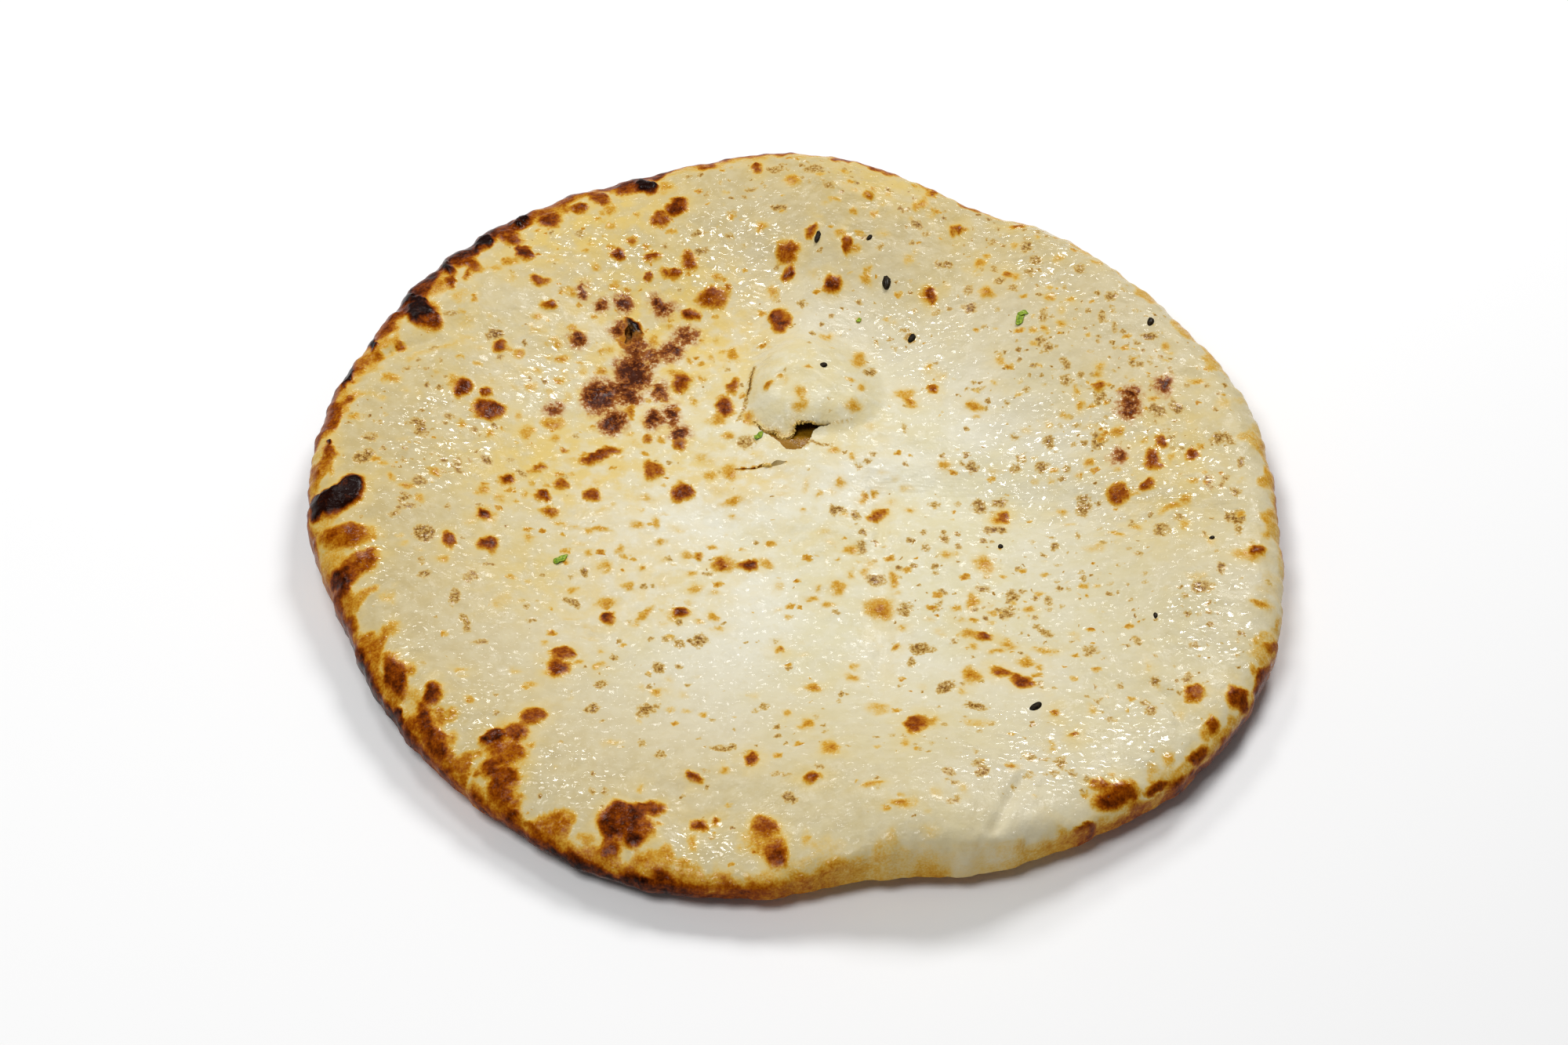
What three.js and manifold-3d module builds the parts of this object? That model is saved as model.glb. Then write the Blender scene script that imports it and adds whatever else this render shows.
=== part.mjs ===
// Round stuffed flatbread, baked against a hot oven wall. The loaf is one blistered crust with a
// puffed rim, split inside by a shallow pocket that holds a thin layer of sweet coconut filling.
// The navel in the middle has puffed up and torn open along its near foot.
// Millimetres and degrees, +Z up. The origin lies on the table under the middle of the bread,
// and the eater sits at -Y. A bearing of 0 points along +X and 90 along +Y, away from the eater.

import * as THREE from 'three';
import { mergeVertices } from 'three/addons/utils/BufferGeometryUtils.js';
import Module from 'manifold-3d';

// The loaf: how far it reaches, how thick it is, and how its rim rolls over
const MEAN_RADIUS = 130;
const POLE = [0.2, -0.9];
const THICKNESS_MIDDLE = 8.5;
const THICKNESS_RIM = 12.5;
const RIM_STARTS = 0.45;
const RIM_FULL = 0.85;
const FLAT_UNDERSIDE = 0.62;
const UNDERSIDE_CURVE = 1.2;
const ROLL_WIDTH = 10;
const UNDER_ROLL_WIDTH = 6;
const UNDERSIDE_CLEARANCE = 0.6;
const REST_LIFT = 3;
const LEAST_LIFT = 0.3;

// Where the outline, the lift off the table and the rim's roll differ: bearing, spread, change
const OUTLINE_LOBES = [
  [-106, 18, 2.5],
  [-82, 9, -4.5],
  [-38, 26, 7.3],
  [-4, 9, -2],
  [40, 22, -5],
  [66, 9, -4.5],
  [92, 10, 2.5],
  [124, 20, 3.2],
  [-157, 16, -5.5],
  [-132, 12, -2],
];
const LIFT_LOBES = [
  [-112, 34, -2.5],
  [-74, 13, 8],
  [-30, 26, -1],
  [40, 30, 2],
  [60, 5, -2],
  [90, 16, 4],
  [140, 26, 2],
  [178, 18, 2.5],
];
const ROLL_LOBES = [
  [-110, 45, 8],
  [-60, 35, 5],
];

// The puffed navel, which reaches a different way out on each side, and the folds of the crust:
// from x, y to x, y, half-width, height
const NAVEL = { x: 2, y: 37, left: 16, right: 26, near: 15, far: 26, height: 5.5 };
const FOLDS = [
  [3, 52, 13, 112, 13, 2.5],
  [30, 48, 40, 98, 12, -1.2],
  [24, 4, 118, -12, 8, -2],
  [24, 2, 23, -72, 4, -0.8],
  [-26, -94, 46, -100, 8, 1.2],
  [-122, 44, -92, 58, 4, -1],
];
const WAVE_LENGTH = 74;
const WAVE_HEIGHT = 0.5;

// The pocket inside the loaf and the filling in it
const POCKET_REACH = 0.8;
const POCKET_HALF_HEIGHT = 1.7;
const POCKET_FOLLOWS_CRUST = 0.8;
const FILLING_CLEARANCE = 0.3;

// The tear at the navel's foot: its two ends, and how far each lip bows towards the eater
const TEAR = { left: [-10.2, 27.6], right: [10, 25.4], nearBow: 8.6, farBow: 2, floor: 4.8 };
const CRACK = { left: [-16, 10], right: [-1.5, 11.6], width: 1.6, floor: 7.9 };
const BURST_BLISTER = { x: -45.6, y: 61, halfWidth: 1.6, halfLength: 3.3, depth: 1.3 };

// Blisters: x, y, half-length, half-width, turn
const BLISTERS = [
  [-21.5, 74, 5.5, 5, 0],
  [-82, 30, 6, 5, 20],
  [-60, -60, 5, 5, 0],
  [23, -40, 6, 5, 30],
  [38.5, 74, 5.5, 4.5, 80],
  [31, 36, 5, 4.5, 0],
  [92.5, 32, 6.5, 4.5, 90],
  [87.6, -2, 5.5, 4.5, 0],
  [-37.8, 10, 5, 4.5, 90],
  [31, -80, 6, 4.5, 25],
  [51, -25, 5, 3.5, -60],
  [-50, 36, 6, 5.5, 0],
];
const BLISTER_HALF_HEIGHT = 1.7;
const BLISTER_RISE = 0.9;
// The underside's three lowest blisters, which the loaf rests on: bearings, distance, half-width
const RESTING_BEARINGS = [-112, 8, 128];
const RESTING_DISTANCE = 78;
const RESTING_HALF_WIDTH = 9;

// Seeds and herb flecks baked into the crust: x, y, length, width, turn
const SEEDS = [
  [27, 80.7, 6, 2.4, 90],
  [7.7, 94.4, 6, 1.6, 80],
  [33.8, 61.3, 4.6, 2.6, 70],
  [61.5, -77.2, 4, 2.2, 40],
  [22.3, 94.9, 3.4, 1.6, 60],
  [99.7, 59.2, 3.4, 2, 80],
  [93.9, -46.4, 2.4, 1.2, 90],
  [55.3, -17.1, 2, 1.5, 80],
  [110.4, -20.5, 1.8, 1.3, 30],
  [8.8, 44.6, 2.4, 1.9, 20],
];
const HERB_FLECKS = [
  [63.9, 63.1, 6, 2, 70],
  [65.1, 64.7, 4.4, 1.7, 20],
  [-60.8, -22.9, 4.6, 2, 40],
  [-8.8, 22.2, 3.6, 1.7, 55],
  [19, 67.5, 2, 1.2, 60],
];
const TOPPING_HEIGHT = 1.6;
const TOPPING_STANDS_PROUD = 0.5;

// How finely the solids are faceted
const FLAT_RINGS = 20;
const ROLL_RINGS = 4;
const POCKET_RINGS = 11;
const CURVE_STEPS = 10;

const radians = THREE.MathUtils.degToRad;
const smoothstep = THREE.MathUtils.smoothstep;

// Sum of soft lobes around the rim at a bearing
function lobesAt(bearing, lobes) {
  let sum = 0;
  for (const [centre, spread, change] of lobes) {
    const apart = THREE.MathUtils.euclideanModulo(bearing - centre + 180, 360) - 180;
    sum += change * Math.exp(-((apart / spread) ** 2));
  }
  return sum;
}

const outlineRadius = (bearing) => MEAN_RADIUS + lobesAt(bearing, OUTLINE_LOBES);
const rimLift = (bearing) => Math.max(LEAST_LIFT, REST_LIFT + lobesAt(bearing, LIFT_LOBES));
const rollWidth = (bearing) => ROLL_WIDTH + lobesAt(bearing, ROLL_LOBES);

// Where a point of the table lies in the loaf: bearing, distance from the pole, share of the radius
function loafPlace(x, y) {
  const east = x - POLE[0];
  const north = y - POLE[1];
  const bearing = THREE.MathUtils.radToDeg(Math.atan2(north, east));
  const distance = Math.hypot(east, north);
  return { bearing, distance, share: distance / outlineRadius(bearing) };
}

function thickness(share) {
  const puff = smoothstep(share, RIM_STARTS, RIM_FULL);
  return THICKNESS_MIDDLE + (THICKNESS_RIM - THICKNESS_MIDDLE) * puff;
}

// The crust bends up towards the rim, wherever the rim stands off the table
function liftAt(place) {
  const bend = smoothstep(place.share, RIM_STARTS, 1);
  return UNDERSIDE_CLEARANCE + rimLift(place.bearing) * bend;
}

// The underside lies flat further out than the top does, and then bends up to meet it at the rim
function underLiftAt(place) {
  const outside = Math.max(0, (place.share - FLAT_UNDERSIDE) / (1 - FLAT_UNDERSIDE));
  return UNDERSIDE_CLEARANCE + rimLift(place.bearing) * outside ** UNDERSIDE_CURVE;
}

// Half the thickness, rounded off over the width of the rim's roll
function roundedHalf(place, width) {
  const inwards = outlineRadius(place.bearing) - width;
  const reach = THREE.MathUtils.clamp((place.distance - inwards) / width, 0, 1);
  return (thickness(place.share) / 2) * Math.sqrt(1 - reach * reach);
}

function navelRise(x, y) {
  const across = (x - NAVEL.x) / (x < NAVEL.x ? NAVEL.left : NAVEL.right);
  const along = (y - NAVEL.y) / (y < NAVEL.y ? NAVEL.near : NAVEL.far);
  const reach = across * across + along * along;
  if (reach >= 1) return 0;
  return NAVEL.height * (1 - reach) ** 2 * (1 + 2 * reach);
}

// Soft ridges and creases of the top crust, and the broad waves between them
function foldRise(x, y) {
  const point = new THREE.Vector3(x, y, 0);
  const nearest = new THREE.Vector3();
  let rise = WAVE_HEIGHT * Math.sin((2 * Math.PI * (x + 0.6 * y)) / WAVE_LENGTH);
  rise += WAVE_HEIGHT * Math.sin((2 * Math.PI * (y - 0.4 * x)) / (1.3 * WAVE_LENGTH));
  for (const [x0, y0, x1, y1, halfWidth, height] of FOLDS) {
    const line = new THREE.Line3(new THREE.Vector3(x0, y0, 0), new THREE.Vector3(x1, y1, 0));
    line.closestPointToPoint(point, true, nearest);
    rise += height * Math.exp(-((point.distanceTo(nearest) / halfWidth) ** 2));
  }
  return rise;
}

// Relief dies out before the edge of the roll
function foldShare(place) {
  return 1 - smoothstep(place.share, 0.86, 0.99);
}

function topHeight(x, y) {
  const place = loafPlace(x, y);
  const middle = liftAt(place) + thickness(place.share) / 2;
  const relief = (foldRise(x, y) + navelRise(x, y)) * foldShare(place);
  return middle + roundedHalf(place, rollWidth(place.bearing)) + relief;
}

function underHeight(x, y) {
  const place = loafPlace(x, y);
  const middle = underLiftAt(place) + thickness(place.share) / 2;
  return middle - roundedHalf(place, UNDER_ROLL_WIDTH);
}

// A disc of points in rings, 6 in the first ring, 12 in the second and so on
function ringedSheet(rings, place) {
  const points = [...place(0, 0)];
  for (let ring = 1; ring <= rings; ring += 1) {
    for (let step = 0; step < 6 * ring; step += 1) {
      points.push(...place(ring, (step / (6 * ring)) * 360));
    }
  }
  return points;
}

function ringPoint(ring, step) {
  if (ring === 0) return 0;
  return 1 + 3 * ring * (ring - 1) + (step % (6 * ring));
}

function ringedTriangles(rings) {
  const triangles = [];
  for (let ring = 1; ring <= rings; ring += 1) {
    for (let step = 0; step < 6 * ring; step += 1) {
      const sector = Math.floor(step / ring);
      const outer = ringPoint(ring, step);
      const nextOuter = ringPoint(ring, step + 1);
      const inner = ringPoint(ring - 1, step - sector);
      triangles.push([inner, outer, nextOuter]);
      if (step % ring < ring - 1) {
        triangles.push([inner, nextOuter, ringPoint(ring - 1, step - sector + 1)]);
      }
    }
  }
  return triangles;
}

// Closed solid between an upper and a lower sheet that meet at the outer ring
function solidBetween(rings, upperPlace, lowerPlace) {
  const upper = ringedSheet(rings, upperPlace);
  const lower = ringedSheet(rings, lowerPlace);
  const offset = upper.length / 3;
  const index = [];
  for (const [a, b, c] of ringedTriangles(rings)) {
    index.push(a, b, c);
    index.push(offset + a, offset + c, offset + b);
  }
  const geometry = new THREE.BufferGeometry();
  geometry.setAttribute('position', new THREE.Float32BufferAttribute([...upper, ...lower], 3));
  geometry.setIndex(index);
  return mergeVertices(geometry, 1e-4);
}

function polarPoint(distance, bearing) {
  const x = POLE[0] + distance * Math.cos(radians(bearing));
  const y = POLE[1] + distance * Math.sin(radians(bearing));
  return [x, y];
}

// The crust's outside: even rings over the flat, then rings at even angles round the roll
function crustPlace(widthAt, heightAt) {
  return (ring, bearing) => {
    const width = widthAt(bearing);
    const flat = outlineRadius(bearing) - width;
    const angle = (Math.max(0, ring - FLAT_RINGS) / ROLL_RINGS) * (Math.PI / 2);
    const distance = flat * Math.min(1, ring / FLAT_RINGS) + width * Math.sin(angle);
    const [x, y] = polarPoint(distance, bearing);
    return [x, y, heightAt(x, y)];
  };
}

function crustGeometry() {
  const upper = crustPlace(rollWidth, topHeight);
  const lower = crustPlace(() => UNDER_ROLL_WIDTH, underHeight);
  return solidBetween(FLAT_RINGS + ROLL_RINGS, upper, lower);
}

// The pocket closes to an edge at its last ring; the filling stops one ring short of it
function pocketHeights(ring, lastRing, x, y, clearance) {
  const place = loafPlace(x, y);
  const middle = liftAt(place) + thickness(place.share) / 2;
  if (ring === lastRing) return { middle, half: 0 };
  const shut = (ring / POCKET_RINGS) ** 4;
  return { middle, half: POCKET_HALF_HEIGHT * Math.sqrt(1 - shut) - clearance };
}

function pocketSolid(lastRing, clearance, hollowUnderNavel) {
  const place = (side) => (ring, bearing) => {
    const reach = POCKET_REACH * outlineRadius(bearing) * (ring / POCKET_RINGS);
    const [x, y] = polarPoint(reach, bearing);
    const { middle, half } = pocketHeights(ring, lastRing, x, y, clearance);
    if (side < 0 || half === 0) return [x, y, middle + side * half];
    const rise = foldRise(x, y) + (hollowUnderNavel ? navelRise(x, y) : 0);
    return [x, y, middle + half + POCKET_FOLLOWS_CRUST * Math.max(rise, -half)];
  };
  return solidBetween(lastRing, place(1), place(-1));
}

// A slit seen from above, with both lips bowed, cut straight down
function slitGeometry(left, right, nearBow, farBow, floor) {
  const middleX = (left[0] + right[0]) / 2;
  const middleY = (left[1] + right[1]) / 2;
  const outline = new THREE.Shape();
  outline.moveTo(left[0], left[1]);
  outline.quadraticCurveTo(middleX, middleY - 2 * nearBow, right[0], right[1]);
  outline.quadraticCurveTo(middleX, middleY - 2 * farBow, left[0], left[1]);
  const options = { depth: 30, bevelEnabled: false, curveSegments: CURVE_STEPS };
  return new THREE.ExtrudeGeometry(outline, options).translate(0, 0, floor);
}

// A flattened bead, turned about the upright
function beadGeometry(x, y, z, halfLength, halfWidth, halfHeight, turn, sides, bands) {
  return new THREE.SphereGeometry(1, sides, bands)
    .rotateX(Math.PI / 2)
    .scale(halfLength, halfWidth, halfHeight)
    .rotateZ(radians(turn))
    .translate(x, y, z);
}

const blisterGeometry = ([x, y, halfLength, halfWidth, turn]) => {
  const z = topHeight(x, y) + BLISTER_RISE - BLISTER_HALF_HEIGHT;
  return beadGeometry(x, y, z, halfLength, halfWidth, BLISTER_HALF_HEIGHT, turn, 10, 6);
};

const restingBlisterGeometry = (bearing) => {
  const [x, y] = polarPoint(RESTING_DISTANCE, bearing);
  const width = RESTING_HALF_WIDTH;
  return beadGeometry(x, y, BLISTER_HALF_HEIGHT, width, width, BLISTER_HALF_HEIGHT, 0, 12, 6);
};

const toppingGeometry = ([x, y, length, width, turn]) => {
  const z = topHeight(x, y) + TOPPING_STANDS_PROUD - TOPPING_HEIGHT / 2;
  return beadGeometry(x, y, z, length / 2, width / 2, TOPPING_HEIGHT / 2, turn, 6, 4);
};

function burstBlisterGeometry() {
  const { x, y, halfWidth, halfLength, depth } = BURST_BLISTER;
  return beadGeometry(x, y, topHeight(x, y), halfWidth, halfLength, depth, 0, 8, 6);
}

// Joining and cutting
const wasm = await Module();
wasm.setup();

function solidFrom(geometry) {
  const bare = geometry.clone();
  bare.deleteAttribute('normal');
  bare.deleteAttribute('uv');
  const merged = mergeVertices(bare, 1e-4);
  const vertProperties = new Float32Array(merged.attributes.position.array);
  const triVerts = new Uint32Array(merged.index.array);
  return new wasm.Manifold(new wasm.Mesh({ numProp: 3, vertProperties, triVerts }));
}

function geometryFrom(solid) {
  const mesh = solid.getMesh();
  const geometry = new THREE.BufferGeometry();
  geometry.setAttribute('position', new THREE.Float32BufferAttribute(mesh.vertProperties, 3));
  geometry.setIndex([...mesh.triVerts]);
  geometry.computeVertexNormals();
  return geometry;
}

function breadGeometry() {
  const added = [
    ...BLISTERS.map(blisterGeometry),
    ...RESTING_BEARINGS.map(restingBlisterGeometry),
    ...[...SEEDS, ...HERB_FLECKS].map(toppingGeometry),
  ];
  const lip = CRACK.width / 2;
  const cutAway = [
    pocketSolid(POCKET_RINGS, 0, true),
    slitGeometry(TEAR.left, TEAR.right, TEAR.nearBow, TEAR.farBow, TEAR.floor),
    slitGeometry(CRACK.left, CRACK.right, lip, -lip, CRACK.floor),
    burstBlisterGeometry(),
  ];
  let bread = solidFrom(crustGeometry());
  for (const geometry of added) bread = bread.add(solidFrom(geometry));
  for (const geometry of cutAway) bread = bread.subtract(solidFrom(geometry));
  return geometryFrom(bread);
}

function fillingGeometry() {
  const geometry = pocketSolid(POCKET_RINGS - 1, FILLING_CLEARANCE, false);
  geometry.computeVertexNormals();
  return geometry;
}

const bakedCrust = new THREE.MeshStandardMaterial({ color: '#d9bd86', roughness: 0.5, metalness: 0 });
const sweetFilling = new THREE.MeshStandardMaterial({ color: '#9a8a4a', roughness: 0.45, metalness: 0 });

const bread = new THREE.Mesh(breadGeometry(), bakedCrust);
bread.name = 'bread';
const filling = new THREE.Mesh(fillingGeometry(), sweetFilling);
filling.name = 'filling';

const naan = new THREE.Group();
naan.name = 'stuffed_naan';
naan.add(bread, filling);

export default naan;
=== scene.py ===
import math

import bmesh
import bpy
import numpy as np
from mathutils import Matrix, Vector


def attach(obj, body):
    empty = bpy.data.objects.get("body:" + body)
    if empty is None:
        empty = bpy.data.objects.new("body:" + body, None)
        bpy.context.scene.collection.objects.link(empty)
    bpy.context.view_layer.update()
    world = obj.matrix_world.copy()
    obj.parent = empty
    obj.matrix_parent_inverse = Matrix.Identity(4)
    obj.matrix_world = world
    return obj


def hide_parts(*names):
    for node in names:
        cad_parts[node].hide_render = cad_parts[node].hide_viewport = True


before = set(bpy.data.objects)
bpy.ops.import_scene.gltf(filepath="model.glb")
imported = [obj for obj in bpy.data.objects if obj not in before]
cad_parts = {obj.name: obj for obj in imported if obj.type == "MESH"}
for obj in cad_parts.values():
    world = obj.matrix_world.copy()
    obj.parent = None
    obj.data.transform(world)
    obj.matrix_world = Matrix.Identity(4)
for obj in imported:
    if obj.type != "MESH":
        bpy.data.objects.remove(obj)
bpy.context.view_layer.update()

# The loaf
# A round of leavened dough, stretched by hand and baked against a hot oven wall, then brushed
# with butter. One crust with a puffed rim and a puffed, torn navel, split inside by a pocket.

MM = 0.001
MEAN_RADIUS = 130.0
POLE = (0.2, -0.9)
THICKNESS_MIDDLE = 8.5
THICKNESS_RIM = 12.5
RIM_STARTS = 0.45
RIM_FULL = 0.85
FLAT_UNDERSIDE = 0.62
UNDERSIDE_CURVE = 1.2
ROLL_WIDTH = 10.0
UNDER_ROLL_WIDTH = 6.0
UNDERSIDE_CLEARANCE = 0.6
REST_LIFT = 3.0
LEAST_LIFT = 0.3

# Where the outline, the lift off the table and the rim's roll differ: bearing, spread, change
OUTLINE_LOBES = [
    (-106, 18, 2.5), (-82, 9, -4.5), (-38, 26, 7.3), (-4, 9, -2), (40, 22, -5),
    (66, 9, -4.5), (92, 10, 2.5), (124, 20, 3.2), (-157, 16, -5.5), (-132, 12, -2),
]
LIFT_LOBES = [
    (-112, 34, -2.5), (-74, 13, 8), (-30, 26, -1), (40, 30, 2), (60, 5, -2),
    (90, 16, 4), (140, 26, 2), (178, 18, 2.5),
]
ROLL_LOBES = [(-110, 45, 8), (-60, 35, 5)]

# The puffed navel, and soft folds: from x, y to x, y, half-width, height
NAVEL_MIDDLE = (2, 37)
NAVEL_LEFT, NAVEL_RIGHT = 16, 26
NAVEL_NEAR, NAVEL_FAR = 15, 26
NAVEL_HEIGHT = 4.8
PULLED_LINE = (24, 4, 118, -12)
FOLDS = [
    (3, 52, 13, 112, 13, 2.5), (30, 48, 40, 98, 12, -1.2), (*PULLED_LINE, 8, -2),
    (24, 2, 23, -72, 4, -0.8), (-26, -94, 46, -100, 8, 1.2), (-122, 44, -92, 58, 4, -1),
]
# Broad waves of the whole sheet: their lie along x and y, and their length
WAVES = [(1.0, 0.6, 74.0), (-0.4, 1.0, 96.2)]
WAVE_HEIGHT = 0.5
RELIEF_ENDS = (0.86, 0.99)


def soft_step(low, high, value):
    share = np.clip((value - low) / (high - low), 0.0, 1.0)
    return share * share * (3.0 - 2.0 * share)


def fading(gap, width):
    """1 in the middle, falling off over a width to both sides."""
    return np.exp(-((gap / width) ** 2))


def lobes_at(bearing, lobes):
    """Sum of soft changes round the loaf."""
    total = np.zeros_like(bearing)
    for centre, spread, change in lobes:
        apart = (bearing - centre + 180.0) % 360.0 - 180.0
        total = total + change * fading(apart, spread)
    return total


def outline_radius(bearing):
    return MEAN_RADIUS + lobes_at(bearing, OUTLINE_LOBES)


def rim_lift(bearing):
    return np.maximum(LEAST_LIFT, REST_LIFT + lobes_at(bearing, LIFT_LOBES))


def roll_width(bearing):
    return ROLL_WIDTH + lobes_at(bearing, ROLL_LOBES)


def loaf_place(x, y):
    """Bearing, distance from the pole and share of the radius of points on the table."""
    bearing = np.degrees(np.arctan2(y - POLE[1], x - POLE[0]))
    distance = np.hypot(x - POLE[0], y - POLE[1])
    return bearing, distance, distance / outline_radius(bearing)


def table_place(bearing, distance):
    """x and y of points, from their bearing and distance from the pole."""
    heading = np.radians(bearing)
    return POLE[0] + distance * np.cos(heading), POLE[1] + distance * np.sin(heading)


def thickness(share):
    puff = soft_step(RIM_STARTS, RIM_FULL, share)
    return THICKNESS_MIDDLE + (THICKNESS_RIM - THICKNESS_MIDDLE) * puff


def middle_height(bearing, share):
    """Height over the table of the sheet half way through the dough."""
    lift = UNDERSIDE_CLEARANCE + rim_lift(bearing) * soft_step(RIM_STARTS, 1.0, share)
    return lift + thickness(share) / 2


def rounded_half(bearing, distance, share, width):
    """Half the thickness, rounded off over a width at the rim."""
    inwards = outline_radius(bearing) - width
    reach = np.clip((distance - inwards) / width, 0.0, 1.0)
    return thickness(share) / 2 * np.sqrt(1.0 - reach * reach)


def navel_rise(x, y):
    """Steep at the near side and on the left, running out softly on the other sides."""
    across = x - NAVEL_MIDDLE[0]
    along = y - NAVEL_MIDDLE[1]
    across = across / np.where(across < 0, NAVEL_LEFT, NAVEL_RIGHT)
    along = along / np.where(along < 0, NAVEL_NEAR, NAVEL_FAR)
    reach = np.minimum(1.0, across * across + along * along)
    return NAVEL_HEIGHT * (1.0 - reach) ** 2 * (1.0 + 2.0 * reach)


def gap_to_line(x, y, x0, y0, x1, y1):
    """Distance from points to a straight stretch."""
    dx, dy = x1 - x0, y1 - y0
    along = np.clip(((x - x0) * dx + (y - y0) * dy) / (dx * dx + dy * dy), 0.0, 1.0)
    return np.hypot(x - x0 - along * dx, y - y0 - along * dy)


def fold_rise(x, y):
    """Broad waves and soft folds of the sheet."""
    rise = np.zeros_like(x)
    for along_x, along_y, length in WAVES:
        rise = rise + WAVE_HEIGHT * np.sin(2 * np.pi * (along_x * x + along_y * y) / length)
    for *line, half_width, height in FOLDS:
        rise = rise + height * fading(gap_to_line(x, y, *line), half_width)
    return rise


def smooth_top(x, y):
    """Height of the loaf's top, before the unevenness of its skin."""
    bearing, distance, share = loaf_place(x, y)
    relief = (fold_rise(x, y) + navel_rise(x, y)) * (1.0 - soft_step(*RELIEF_ENDS, share))
    half = rounded_half(bearing, distance, share, roll_width(bearing))
    return middle_height(bearing, share) + half + relief


def smooth_under(x, y):
    """Height of the loaf's underside, before its unevenness."""
    bearing, distance, share = loaf_place(x, y)
    outside = np.maximum(0.0, (share - FLAT_UNDERSIDE) / (1.0 - FLAT_UNDERSIDE))
    lift = UNDERSIDE_CLEARANCE + rim_lift(bearing) * outside ** UNDERSIDE_CURVE
    return lift + thickness(share) / 2 - rounded_half(bearing, distance, share, UNDER_ROLL_WIDTH)


def ripple(x, y, wavelength, seed, waves=14):
    """Uneven waves of about that length, between about -1 and 1."""
    draw = np.random.default_rng(seed)
    total = np.zeros_like(x)
    for _ in range(waves):
        heading = draw.uniform(0.0, 2 * np.pi)
        length = wavelength * draw.uniform(0.75, 1.35)
        phase = draw.uniform(0.0, 2 * np.pi)
        along = x * np.cos(heading) + y * np.sin(heading)
        total = total + np.sin(2 * np.pi * along / length + phase)
    return total / (0.5 * waves) ** 0.5 / 2


def rippled(value, x, y, layers):
    """A value with layers of ripples added, each with its height, wavelength and seed."""
    for height, wavelength, seed in layers:
        value = value + height * ripple(x, y, wavelength, seed)
    return value


# How the loaf is seen in the picture
SIGHT_ELEVATION = math.radians(47.0)
SIGHT_DISTANCE = 950.0
SIGHT_TARGET = (-2.0, -10.0, 10.0)
LENS = 82.08
SENSOR_WIDTH = 36.0
PICTURE_SIZE = (2000, 1333)

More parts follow.
